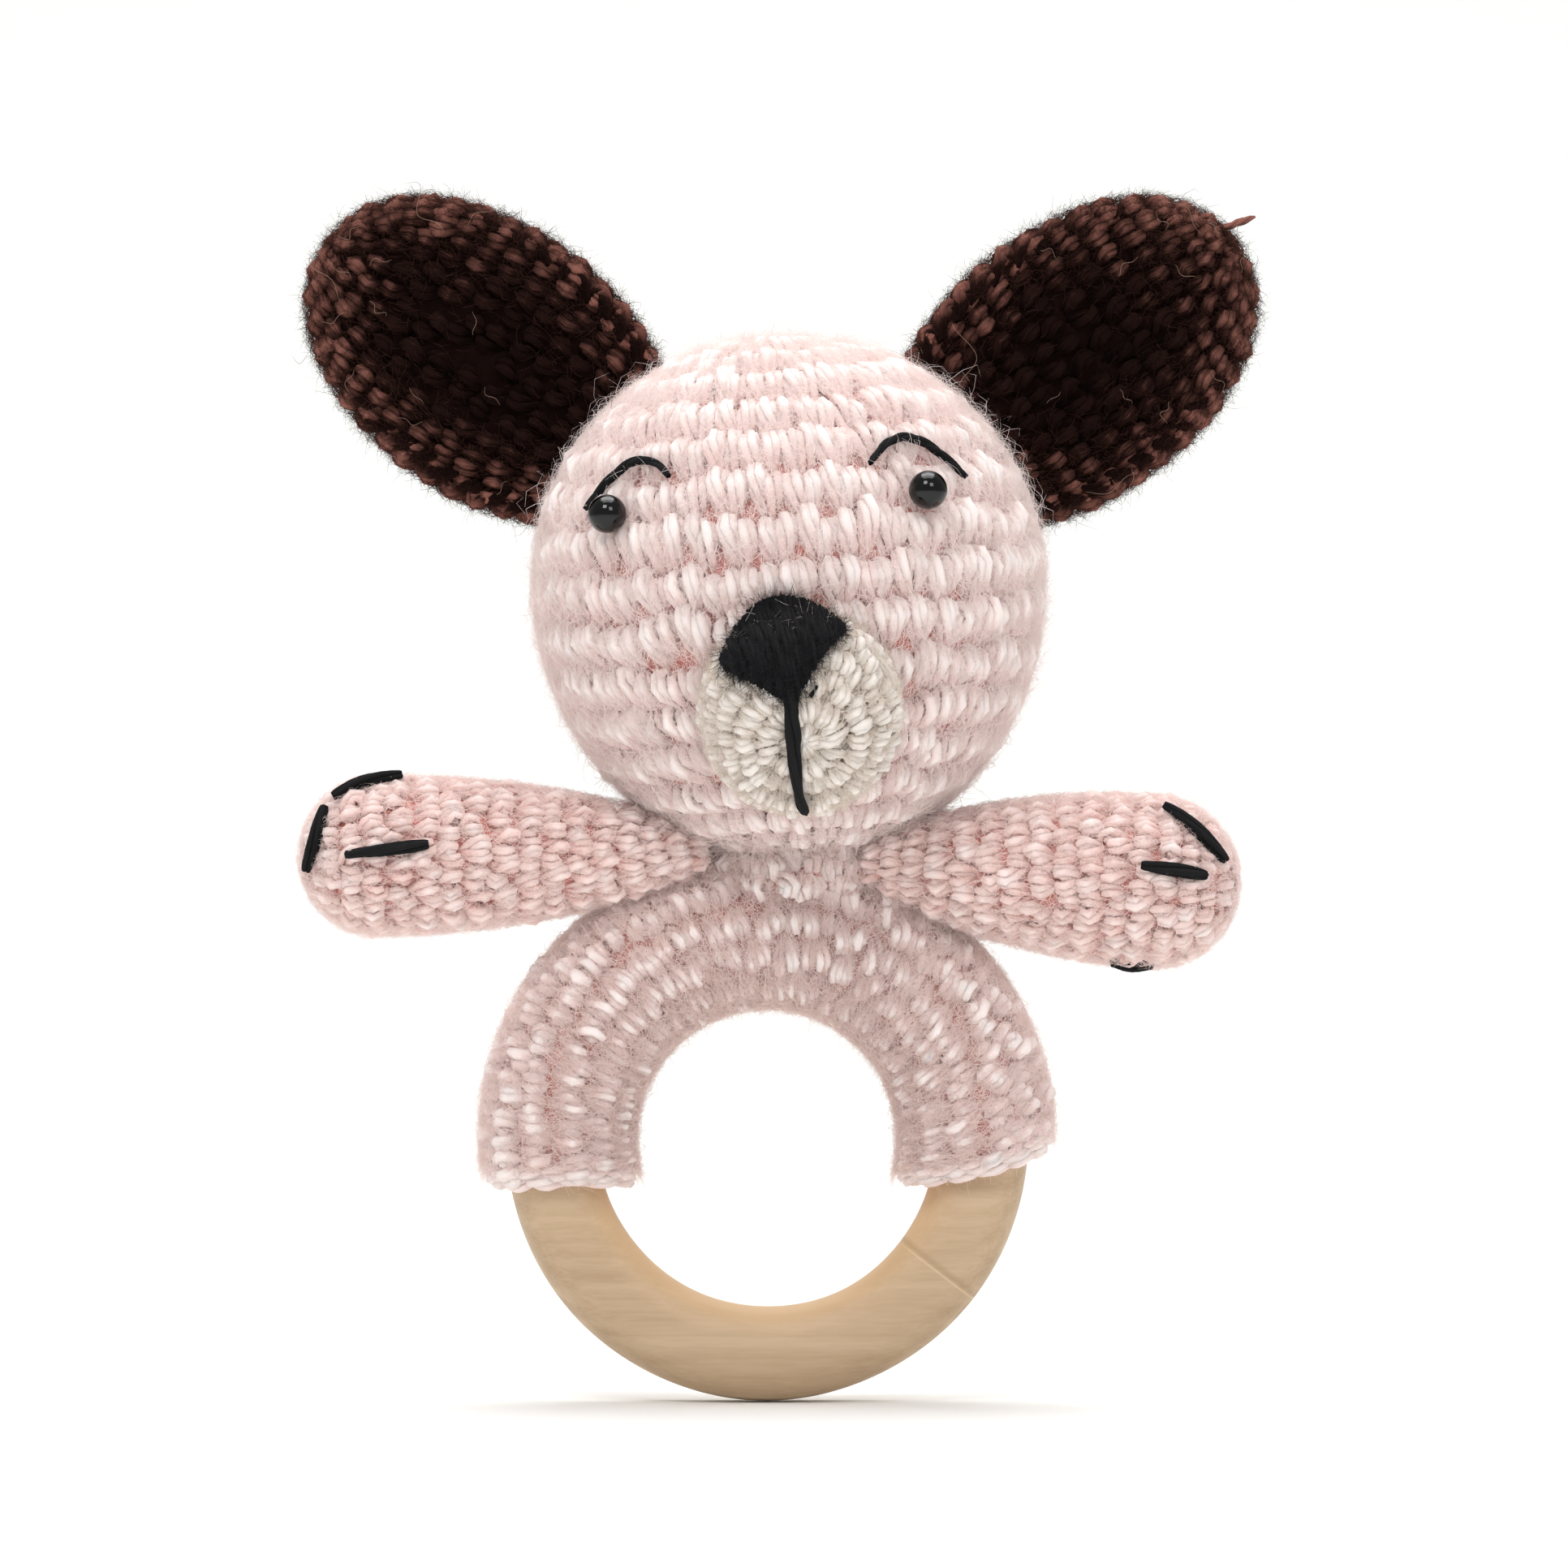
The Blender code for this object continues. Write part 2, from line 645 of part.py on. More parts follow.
def make_nose(frame, at, base):
    """A thin pad over the dome, inside the hull of its round corners, clear of the seam."""
    corners = [
        (base.x + side * MUZZLE_HALF_WIDTH, base.z + rise * MUZZLE_HALF_HEIGHT, radius)
        for side, rise, radius in NOSE_CORNERS
    ]
    outline = []
    for i in range(NOSE_STEPS):
        turn = math.tau * i / NOSE_STEPS
        way = Vector((math.cos(turn), math.sin(turn)))
        x, z, radius = max(corners, key=lambda c: c[0] * way.x + c[1] * way.y + c[2])
        outline.append((x + radius * way.x, z + radius * way.y))
    rows = [[Vector((x, y, z)) for x, z in outline] for y in (-2 * HEAD_RADIUS, -HEAD_RADIUS / 2)]
    nose = add_piece("nose_embroidery", skin("nose_embroidery", rows), BLACK, parent=frame)
    shell = dome_mesh("nose_outer_cutter", GAP + NOSE_THICKNESS, MUZZLE_ROOT)
    cut(nose, add_cutter("nose_outer_cutter", shell, parent=frame, at=at), "INTERSECT")
    core = dome_mesh("nose_inner_cutter", GAP, MUZZLE_ROOT + CUT_PAST)
    cut(nose, add_cutter("nose_inner_cutter", core, parent=frame, at=at))
    clear = 2 * GAP + SEWING_YARN_DIAMETER
    mesh = turned("nose_seam_cutter", closed_egg(clear), HEAD_SEGMENTS)
    cut(nose, add_cutter("nose_seam_cutter", mesh, parent=frame))


# ---------------------------------------------------------------- ears


def make_ear(side, frame):
    """A flat ear in a frame on its seam: X along the ear, Y through it, Z along the seam."""
    turn = EAR_ANGLE[side]
    out = Vector((math.cos(turn), 0, math.sin(turn)))
    seat = on_head(out * 2 * HEAD_RADIUS, -out, 0)
    hinge = seat + out * EAR_GAP + Y * EAR_BACK
    along = out.cross(Y)
    at = Matrix.Translation(hinge) @ Matrix((out, Y, along)).transposed().to_4x4()
    pivot = add_empty(f"{side}_ear_seam", at, frame)

    middle = EAR_OVERHANG[side]
    rows = []
    for i in range(1, EAR_LEVELS):
        angle = math.pi * i / EAR_LEVELS
        x = middle + EAR_LENGTH / 2 * math.cos(angle)
        half_width = EAR_WIDTH / 2 * math.sin(angle) ** EAR_ROUNDING[0]
        rooted = 0.5 - 0.5 * math.cos(angle)
        half_thickness = EAR_THICKNESS / 2 * math.sin(angle) ** EAR_ROUNDING[1]
        half_thickness = min(
            half_thickness,
            EAR_THICKNESS / 2 * (1 - rooted) + EAR_ROOT_THICKNESS / 2 * rooted,
        )
        turns = [math.tau * k / EAR_SIDES for k in range(EAR_SIDES)]
        rows.append(
            [Vector((x, half_thickness * math.sin(t), half_width * math.cos(t))) for t in turns]
        )
    tip = [Vector((middle + EAR_LENGTH / 2, 0, 0))]
    root = [Vector((middle - EAR_LENGTH / 2, 0, 0))]
    mesh = skin(f"{side}_ear", [tip] + rows + [root])
    ear = add_piece(f"{side}_ear", mesh, BROWN, parent=pivot)
    name = f"{side}_ear_cutter"
    cutter = add_cutter(name, turned(name, closed_egg(EAR_GAP), HEAD_SEGMENTS), parent=frame)
    cut(ear, cutter)

    lift = GAP + SEWING_YARN_DIAMETER / 2
    points = []
    for i in range(9):
        start = at @ Vector((HEAD_RADIUS / 2, 0, EAR_SEAM_WIDTH * (i / 8 - 0.5)))
        points.append(on_head(start, -out, lift))
    yarn(f"{side}_ear_seam_yarn", points, SEWING_YARN_DIAMETER, BROWN, parent=frame)


# ---------------------------------------------------------------- arms


def arm_profile(length, paw_radius, lift):
    """(radius, distance from the root) of the arm, enlarged by lift."""
    straight = length - paw_radius
    points = []
    for i in range(ARM_LEVELS + 1):
        share = i / ARM_LEVELS
        grown = math.sin(share * math.pi / 2) ** ARM_FULLNESS
        radius = ARM_ROOT_RADIUS + (paw_radius - ARM_ROOT_RADIUS) * grown + lift
        points.append((radius, straight * share))
    for i in range(1, PAW_LEVELS + 1):
        angle = math.pi / 2 * i / PAW_LEVELS
        radius = paw_radius + lift
        points.append((radius * math.cos(angle), straight + radius * math.sin(angle)))
    return points


def crotch(side):
    """The middle of the space between the sleeve and the head at this X."""
    front = Vector((side, -ARM_FRONT, 0))
    to_head = HEAD_FRAME @ Matrix.Translation((0, 0, HEAD_RISE))
    inside = to_head.inverted()
    hit = to_head @ on_head(inside @ front, inside.to_3x3() @ Z, 0)
    return Vector((side, -ARM_FRONT, (sleeve_top(side, ARM_FRONT) + hit.z) / 2))


def make_arm(side):
    paw = PAW_RADIUS[side]
    length = ARM_LENGTH[side]
    out = SIDES[side]
    shoulder_reach = NECK_YARN_RADIUS + NECK_YARN_DIAMETER / 2 + SHOULDER_CLEARANCE[side]
    inner_end = crotch(NECK_X + out * shoulder_reach)
    root = crotch(NECK_X + out * (shoulder_reach + SHOULDER_YARN_LENGTH[side]))
    way = Vector((out * math.cos(ARM_SLOPE[side]), 0, math.sin(ARM_SLOPE[side])))

    # The shoulder frame is at the yarn's inner end; the arm frame is where the arm bends.
    # The arm frame has its Z along the arm, its Y up and its X level.
    pivot = add_empty(f"{side}_arm_bend", facing(root + way * ARM_PIVOT, way))
    shoulder = add_empty(f"{side}_shoulder", facing(inner_end, root - inner_end))
    stop = (root - inner_end).length - GAP
    points = [Vector((0, 0, stop * i / 4)) for i in range(5)]
    yarn(f"{side}_shoulder_yarn", points, SHOULDER_YARN_DIAMETER, PINK, parent=shoulder)

    outer = [(r, z - ARM_PIVOT) for r, z in arm_profile(length, paw, 0)]
    outer = [(0, outer[0][1])] + outer
    name = f"{side}_arm_cover"
    cover = add_piece(name, turned(name, outer, ARM_SIDES), PINK, parent=pivot)

    # The filling starts where the arm is wide enough, and leaves by a hole under the root.
    cavity = [(r, z - ARM_PIVOT) for r, z in arm_profile(length, paw, -ARM_WALL)]
    cavity = [(r, z) for r, z in cavity if z >= 0 or r > ARM_ROOT_RADIUS]
    hole = [(0, -2 * ARM_PIVOT), (ARM_ROOT_RADIUS / 2, -2 * ARM_PIVOT)]
    hole.append((ARM_ROOT_RADIUS / 2, cavity[0][1]))
    name = f"{side}_arm_cavity_cutter"
    cut(cover, add_cutter(name, turned(name, hole + cavity, ARM_SIDES), parent=pivot))

    filling = [(r, z - ARM_PIVOT) for r, z in arm_profile(length, paw, -ARM_WALL - GAP)]
    filling = [(r, z) for r, z in filling if z >= GAP or r > ARM_ROOT_RADIUS + GAP]
    filling = [(0, filling[0][1])] + filling
    name = f"{side}_arm_stuffing"
    mesh = turned(name, filling, ARM_SIDES)
    add_piece(name, mesh, FIBREFILL, FILLING_ROUGHNESS, parent=pivot)

    lift = GAP + BLACK_THREAD_DIAMETER / 2
    profile = arm_profile(length, paw, lift)
    for number, (start, end) in enumerate(CLAWS[side], 1):
        points = []
        for i in range(7):
            back = start[0] + (end[0] - start[0]) * i / 6
            angle = math.radians(start[1] + (end[1] - start[1]) * i / 6)
            radius = radius_at(profile, length - back)
            front = -out * radius * math.cos(angle)
            points.append(Vector((front, radius * math.sin(angle), length - back - ARM_PIVOT)))
        name = f"{side}_claw_stitch_{number}"
        yarn(name, points, BLACK_THREAD_DIAMETER, BLACK, parent=pivot)


def radius_at(profile, distance):
    for (r0, z0), (r1, z1) in zip(profile, profile[1:]):
        if z0 <= distance <= z1:
            return r0 + (r1 - r0) * (distance - z0) / (z1 - z0)
    return profile[0][0]


# ---------------------------------------------------------------- assembly


def main():
    clear_scene()
    make_wooden_ring()
    make_sleeve()

    neck = add_empty("neck", HEAD_FRAME)
    ring = NECK_YARN_DIAMETER / 2
    height = sleeve_top(0) + GAP + ring
    circle = [
        Vector(
            (
                NECK_X + NECK_YARN_RADIUS * math.cos(math.tau * i / 20),
                NECK_YARN_RADIUS * math.sin(math.tau * i / 20),
                height,
            )
        )
        for i in range(20)
    ]
    yarn("neck_yarn", circle, NECK_YARN_DIAMETER, PINK, loop=True)

    head = add_empty("head_middle", Matrix.Translation((0, 0, HEAD_RISE)), neck)
    cover = make_head_cover(head)
    upper_stuffing = make_head_stuffing(head)
    make_rattle(head)
    make_muzzle(head)
    for side in SIDES:
        make_eye(side, head, cover, upper_stuffing)
        make_brow(side, head)
        make_ear(side, head)
        make_arm(side)


main()
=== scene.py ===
"""Looks of the crocheted teething ring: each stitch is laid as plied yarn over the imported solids.

Metres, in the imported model's own frame. MM turns a size in millimetres into metres.
"""

import json
import math

import bmesh
import bpy
import numpy as np
from mathutils import Matrix, Vector, noise
from mathutils.bvhtree import BVHTree


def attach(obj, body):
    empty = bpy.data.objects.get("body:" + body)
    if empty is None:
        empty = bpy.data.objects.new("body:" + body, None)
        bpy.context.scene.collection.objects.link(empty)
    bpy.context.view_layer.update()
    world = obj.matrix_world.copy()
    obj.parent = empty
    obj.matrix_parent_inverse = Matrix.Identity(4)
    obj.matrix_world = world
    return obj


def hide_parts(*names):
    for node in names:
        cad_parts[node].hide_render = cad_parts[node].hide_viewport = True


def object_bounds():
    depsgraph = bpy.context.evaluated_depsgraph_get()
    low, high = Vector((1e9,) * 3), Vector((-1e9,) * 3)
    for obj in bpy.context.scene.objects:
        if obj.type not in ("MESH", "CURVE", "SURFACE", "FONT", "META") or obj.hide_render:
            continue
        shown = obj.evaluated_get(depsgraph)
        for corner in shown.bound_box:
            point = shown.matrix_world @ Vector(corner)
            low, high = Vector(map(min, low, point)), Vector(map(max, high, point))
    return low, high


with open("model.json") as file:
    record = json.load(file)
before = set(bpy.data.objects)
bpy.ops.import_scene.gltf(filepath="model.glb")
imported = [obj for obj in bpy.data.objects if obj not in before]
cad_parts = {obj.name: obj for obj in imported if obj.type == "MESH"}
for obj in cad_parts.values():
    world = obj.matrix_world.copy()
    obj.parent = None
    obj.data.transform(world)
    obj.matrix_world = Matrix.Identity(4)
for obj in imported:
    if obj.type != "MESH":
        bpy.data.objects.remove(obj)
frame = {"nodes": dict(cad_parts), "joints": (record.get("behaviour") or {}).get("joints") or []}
solid_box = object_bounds()
chance = np.random.default_rng(11)
MM = 0.001

# Wooden ring, whose section is rounder than an ellipse's at the corners
RING_MIDDLE = 28.75 * MM
RING_HALF_WIDTH = 6.25 * MM
RING_HALF_THICKNESS = 5.75 * MM
RING_SQUARENESS = 2.4
RING_JOINT_ANGLE = math.radians(-37.7)

# Sleeve round the ring
SLEEVE_MIDDLE = 28.0 * MM
SLEEVE_HALF_WIDTH = 10.5 * MM
SLEEVE_HALF_FACE = 9.45 * MM
SLEEVE_SQUARENESS = 2.2
SLEEVE_LEFT_DROP = 4.6 * MM  # the left end is cut level, this far below the ring's middle
SLEEVE_RIGHT_END = (math.radians(-15), math.radians(1.3))  # at the inside and at the outside
SLEEVE_SWEEP = math.radians(195)
SLEEVE_ROUNDS = 13
SLEEVE_STITCHES = 22
SLEEVE_TWIST = 3.6 * MM  # how far the rounds creep outwards between the ends and the top
SLEEVE_JOIN = 2  # the round that starts at the sewn join, whose stitches are pulled apart
SLEEVE_JOIN_GAP = 0.8 * MM

# Head, an egg about its own axis, whose middle is HEAD_RISE over the neck
HEAD_RISE = 36.06 * MM
HEAD_RADIUS = 34.25 * MM
HEAD_UPPER_HEIGHT = 33.0 * MM
HEAD_LOWER_HEIGHT = 37.5 * MM
HEAD_NECK_ANGLE = math.radians(80)
HEAD_ROUND = 6.3 * MM
HEAD_STITCH = 5.4 * MM

# Muzzle, a dome on the face
MUZZLE_TURN = math.radians(0.7)
MUZZLE_DROP = math.radians(28.0)
MUZZLE_HALF_WIDTH = 13.3 * MM
MUZZLE_HALF_HEIGHT = 14.2 * MM
MUZZLE_RISE = 10.0 * MM
MUZZLE_SQUARENESS = 2.05

# Eyes, domed beads
EYE_RADIUS = 2.55 * MM
EYE_CAP_ANGLE = math.radians(150)  # from the front of the bead to where it sinks in

# Nose, by its highest point, its two sides and its lowest point, as (x, z)
NOSE_CROWN = (1.8 * MM, 72.4 * MM)
NOSE_LEFT = (-5.5 * MM, 65.6 * MM)
NOSE_RIGHT = (9.9 * MM, 68.6 * MM)
NOSE_POINT = (3.3 * MM, 58.0 * MM)
NOSE_STRANDS = 30

# Mouth thread, as (x, z, share of its full thickness)
MOUTH = (
    (3.25 * MM, 60.5 * MM, 1.5),
    (3.2 * MM, 57.6 * MM, 1.0),
    (3.55 * MM, 54.2 * MM, 1.2),
    (3.5 * MM, 52.4 * MM, 0.85),
    (3.7 * MM, 50.0 * MM, 0.85),
    (4.1 * MM, 46.6 * MM, 0.7),
    (4.7 * MM, 44.6 * MM, 0.85),
    (5.1 * MM, 43.9 * MM, 0.7),
)

# Collar of the neck: half width, half depth and height over the neck, from the chin down
NECK_COLLAR = (
    (8.0 * MM, 7.6 * MM, 3.4 * MM),
    (10.4 * MM, 9.4 * MM, 1.6 * MM),
    (11.6 * MM, 10.2 * MM, -0.6 * MM),
    (12.2 * MM, 10.5 * MM, -3.2 * MM),
    (11.8 * MM, 10.2 * MM, -5.4 * MM),
)

# Yarns as spun: how many plies, the radius of one, and the length in which they turn once
HEAD_YARN = {"plies": 5, "ply_radius": 0.60 * MM, "lay": 24 * MM}
COLLAR_YARN = {"plies": 5, "ply_radius": 0.58 * MM, "lay": 20 * MM}
SLEEVE_YARN = {"plies": 4, "ply_radius": 0.60 * MM, "lay": 20 * MM}
ARM_YARN = {"plies": 4, "ply_radius": 0.50 * MM, "lay": 16 * MM}
EAR_YARN = {"plies": 4, "ply_radius": 0.50 * MM, "lay": 15 * MM}
MUZZLE_YARN = {"plies": 5, "ply_radius": 0.60 * MM, "lay": 24 * MM}
SEWING_YARN = {"plies": 5, "ply_radius": 0.42 * MM, "lay": 30 * MM}

# Ears, flat and worked from the tip
EAR_LENGTH = 54.0 * MM
EAR_WIDTH = 36.4 * MM
EAR_THICKNESS = 8.8 * MM
EAR_ROOT_THICKNESS = 5.0 * MM
EAR_CUP = 2.4 * MM  # how far the middle of the ear dishes back from its rim
EAR_OVERHANG = {"left": 14.5 * MM, "right": 12.8 * MM}

EAR_SHADE = 0.75  # how much less light the yarn takes in the middle of the cup
EAR_STRAYS = {
    "left": (
        ((-43.0, -5.5, 121.0), (-48.5, -7.5, 127.0)),
        ((-22.5, -4.0, 99.5), (-19.5, -9.0, 97.5)),
        ((-57.0, -4.0, 112.0), (-60.5, -6.5, 118.5)),
    ),
    "right": (
        ((25.6, -6.0, 98.7), (27.2, -9.0, 108.4)),
        ((58.0, -4.0, 121.0), (54.0, -6.5, 126.0)),
        ((49.0, -5.5, 89.0), (43.0, -6.5, 85.5)),
    ),
}

# Arms, worked from the paw
ARM_REACH = {"left": 44.3 * MM, "right": 41.9 * MM}  # from the bend to the paw's tip
ARM_INNER = {"left": 10.5 * MM, "right": 9.0 * MM}  # from the bend back to the root
ARM_SLOPE = {"left": math.radians(-1), "right": math.radians(-4)}
PAW_RADIUS = {"left": 10.7 * MM, "right": 11.6 * MM}
ARM_ROOT_RADIUS = 2.4 * MM
ARM_FULLNESS = 0.72
ARM_SHADE = 0.32  # how much less light the arms' small stitches take
CLAWS_SEWN_DEEP = ("right_claw_stitch_3",)

SIDES = ("left", "right")


# ---------------------------------------------------------------- materials


def linear(colour):
    """An sRGB hex colour as the linear colour that shaders take."""
    parts = [int(colour[i : i + 2], 16) / 255 for i in (1, 3, 5)]
    return [p / 12.92 if p <= 0.04045 else ((p + 0.055) / 1.055) ** 2.4 for p in parts] + [1.0]


def add(tree, kind, inputs=None, **settings):
    """Adds a node with its settings, and sets or links its inputs."""
    made = tree.nodes.new(kind)
    for name, value in settings.items():
        setattr(made, name, value)
    for name, value in (inputs or {}).items():
        if isinstance(value, bpy.types.NodeSocket):
            tree.links.new(value, made.inputs[name])
        else:
            made.inputs[name].default_value = value
    return made


def arithmetic(tree, operation, *values):
    """One step of arithmetic, as the socket that gives its result."""
    return add(tree, "ShaderNodeMath", dict(enumerate(values)), operation=operation).outputs[0]


def noise_along(tree, place, scale, **inputs):
    """Noise that is drawn out along an axis, as fibres and wood grain are."""
    drawn = add(tree, "ShaderNodeMapping", {"Vector": place, "Scale": scale}).outputs["Vector"]
    inputs.update(Vector=drawn, Scale=1.0)
    return add(tree, "ShaderNodeTexNoise", inputs).outputs["Fac"]


def relief(tree, height, strength, distance):
    """Fine relief on a surface: the bumps that are too small to be modelled."""
    inputs = {"Height": height, "Strength": strength, "Distance": distance}
    return add(tree, "ShaderNodeBump", inputs).outputs["Normal"]


def blend(tree, factor, first, second):
    inputs = {"Factor": factor, "A": first, "B": second}
    return add(tree, "ShaderNodeMix", inputs, data_type="RGBA").outputs["Result"]


def new_material(name):
    material = bpy.data.materials.new(name)
    material.use_nodes = True
    material.node_tree.nodes.clear()
    return material, material.node_tree


def show(tree, kind, inputs):
    """Ends a material's tree with this shader."""
    shader = add(tree, kind, inputs)
    add(tree, "ShaderNodeOutputMaterial", {"Surface": shader.outputs[0]})


def ramp(tree, factor, *stops):
    """A colour ramp through (place, sRGB colour) stops."""
    made = add(tree, "ShaderNodeValToRGB", {"Fac": factor})
    elements = made.color_ramp.elements
    while len(elements) < len(stops):
        elements.new(0.5)
    for element, (place, colour) in zip(elements, stops):
        element.position = place
        element.color = linear(colour)
    return made.outputs["Color"]


def yarn_material(name, deep, middle, proud, fibre, fluff, streak, soft=0.0, shine=0.2):
    """Spun yarn: fibres run along it, so it is streaked lengthwise, and it never shines.

    Painted light and shade: its colour deepens into the stitch, standing in for the shade there and
    the light that reaches it off other yarn, and is painted lighter where the yarn stands proud.
    """
    material, tree = new_material(name)
    place = add(tree, "ShaderNodeUVMap", uv_map="yarn").outputs["UV"]
    depth = add(tree, "ShaderNodeAttribute", attribute_name="depth").outputs["Fac"]
    fibres = noise_along(tree, place, (0.18 / fibre, 1 / fibre, 1), Detail=3.0, Roughness=0.6)
    varied = arithmetic(tree, "MULTIPLY_ADD", fibres, streak, depth)
    centred = arithmetic(tree, "SUBTRACT", varied, streak / 2)
    # deep is the painted shade, proud the painted light, and middle the yarn's own colour between
    # them.
    colour = ramp(tree, centred, (0.0, deep), (0.55, middle), (1.0, proud))
    show(
        tree,
        "ShaderNodeBsdfPrincipled",
        {
            "Base Color": colour,
            "Roughness": 0.9,
            "Specular IOR Level": shine,
            "Sheen Weight": fluff,
            "Sheen Roughness": 0.6,
            "Sheen Tint": linear(proud),
            "Subsurface Weight": soft,
            "Subsurface Radius": (1.0, 0.82, 0.78),
            "Subsurface Scale": 1.0 * MM,
            "Normal": relief(tree, fibres, 0.6, 0.25 * MM),
        },
    )
    return material


def fuzz_material(name, colour):
    """Loose fibres that stand off the yarn: thin enough for light to pass through them."""
    material, tree = new_material(name)
    lit = add(tree, "ShaderNodeBsdfDiffuse", {"Color": linear(colour), "Roughness": 0.5})
    through = add(tree, "ShaderNodeBsdfTranslucent", {"Color": linear(colour)})
    show(tree, "ShaderNodeMixShader", {0: 0.4, 1: lit.outputs[0], 2: through.outputs[0]})
    return material


def joint_mark(tree, place, colour, mark, aside, half_width, strength):
    """Lays a soft-edged line of another colour over the wood, beside the ring's glued joint."""
    c, s = math.cos(RING_JOINT_ANGLE), math.sin(RING_JOINT_ANGLE)
    along, across = (
        add(tree, "ShaderNodeVectorMath", {0: place, 1: way}, operation="DOT_PRODUCT")
        for way in ((c, 0, s), (-s, 0, c))
    )
    across, along = across.outputs["Value"], along.outputs["Value"]
    apart = arithmetic(tree, "ABSOLUTE", arithmetic(tree, "SUBTRACT", across, aside))
    near = add(
        tree,
        "ShaderNodeMapRange",
        {"Value": apart, "From Max": half_width, "To Min": strength, "To Max": 0.0},
    ).outputs[0]
    ahead = arithmetic(tree, "GREATER_THAN", along, 0.0)
    return blend(tree, arithmetic(tree, "MULTIPLY", near, ahead), colour, linear(mark))


def beech_material():
    """Turned and sanded beech, unfinished: fine even grain along the board, small dark flecks.

    The ring's two boards meet in a glued joint, a pale line with a painted shade beside it.
    """
    material, tree = new_material("turned_beech")
    place = add(tree, "ShaderNodeTexCoord").outputs["Object"]
    inward = add(tree, "ShaderNodeAttribute", attribute_name="depth").outputs["Fac"]
    growth = noise_along(tree, place, (9, 420, 420), Detail=4.0, Distortion=0.3)
    pores = noise_along(tree, place, (180, 2600, 2600), Detail=2.0)
    grain = arithmetic(tree, "MULTIPLY_ADD", pores, 0.35, growth)
    colour = ramp(tree, grain, (0.35, "#ab8f6f"), (0.65, "#bda283"), (0.90, "#c9af90"))
    colour = blend(tree, inward, colour, linear("#e0bd92"))
    # Painted shade: a darker soft band just to one side of the joint.
    colour = joint_mark(tree, place, colour, "#8f7350", 0.6 * MM, 0.75 * MM, 0.35)
    colour = joint_mark(tree, place, colour, "#dfc3a0", 0.0, 0.22 * MM, 0.7)
    show(
        tree,
        "ShaderNodeBsdfPrincipled",
        {
            "Base Color": colour,
            "Roughness": 0.48,
            "Specular IOR Level": 0.4,
            "Normal": relief(tree, pores, 0.15, 0.05 * MM),
        },
    )
    return material


def moulded_material(name, colour, roughness, texture, coat=0.0, clear=0.0, mirror=0.5):
    """Injection-moulded plastic: an even colour under a smooth skin with a faint orange peel."""
    material, tree = new_material(name)
    place = add(tree, "ShaderNodeTexCoord").outputs["Object"]
    peel = add(
        tree, "ShaderNodeTexNoise", {"Vector": place, "Scale": 1 / texture, "Detail": 2.0}
    ).outputs["Fac"]
    show(
        tree,
        "ShaderNodeBsdfPrincipled",
        {
            "Base Color": linear(colour),
            "Roughness": roughness,
            "Specular IOR Level": mirror,
            "Coat Weight": coat,
            "Coat Roughness": 0.03,
            "Transmission Weight": clear,
            "Normal": relief(tree, peel, 0.06, 0.1 * MM),
        },
    )
    return material


PINK_YARN = yarn_material(
    "blush_acrylic_yarn", "#cf8379", "#eccdc7", "#f8eae7", 0.25, 0.5, 0.25, soft=0.45
)
# A darker, redder copy of the blush yarn for the fabric behind the stitches: painted shade for the
# holes.
PINK_SHADE = yarn_material(
    "blush_acrylic_painted_shade", "#bb6d63", "#d49087", "#e2ada5", 0.3, 0.2, 0.3
)
WHITE_YARN = yarn_material(
    "ecru_acrylic_yarn", "#a89689", "#d7cac0", "#ede4dd", 0.25, 0.4, 0.25, soft=0.3
)
BROWN_YARN = yarn_material(
    "chocolate_acrylic_yarn", "#010000", "#1e100d", "#86594f", 0.2, 0.10, 0.5, shine=0.04
)
BLACK_YARN = yarn_material(
    "black_embroidery_yarn", "#030304", "#0b0b0c", "#1d1d1f", 0.2, 0.15, 0.5
)
# The head's fibres are painted lighter, as painted light for its well-lit crown. The neck's,
# sleeve's and arms' are the same fibre painted darker, as painted shade.
LIT_PINK_FUZZ = fuzz_material("blush_loose_fibre_painted_light", "#f9eeeb")
SHADED_PINK_FUZZ = fuzz_material("blush_loose_fibre_painted_shade", "#f7e9e5")
WHITE_FUZZ = fuzz_material("ecru_loose_fibre", "#efe7de")
BROWN_FUZZ = fuzz_material("chocolate_loose_fibre", "#48302a")
BLACK_FUZZ = fuzz_material("black_loose_fibre", "#323235")
STRAY_FIBRE = fuzz_material("pale_stray_fibre", "#a58b7c")
BEECH = beech_material()
EYE_PLASTIC = moulded_material("black_safety_eye_acrylic", "#020202", 0.07, 2.0 * MM, mirror=0.4)
WASHER_PLASTIC = moulded_material("black_moulded_washer", "#101011", 0.45, 0.8 * MM)
CAPSULE_PLASTIC = moulded_material("clear_capsule_shell", "#e6ebef", 0.15, 1.5 * MM, clear=0.8)
BEAD_PLASTIC = moulded_material("red_rattle_bead", "#b5281f", 0.2, 1.0 * MM, coat=0.5)
WADDING = yarn_material("polyester_wadding", "#d9d9d4", "#eeeeea", "#fafaf7", 0.5, 0.6, 0.3)


# ---------------------------------------------------------------- making meshes


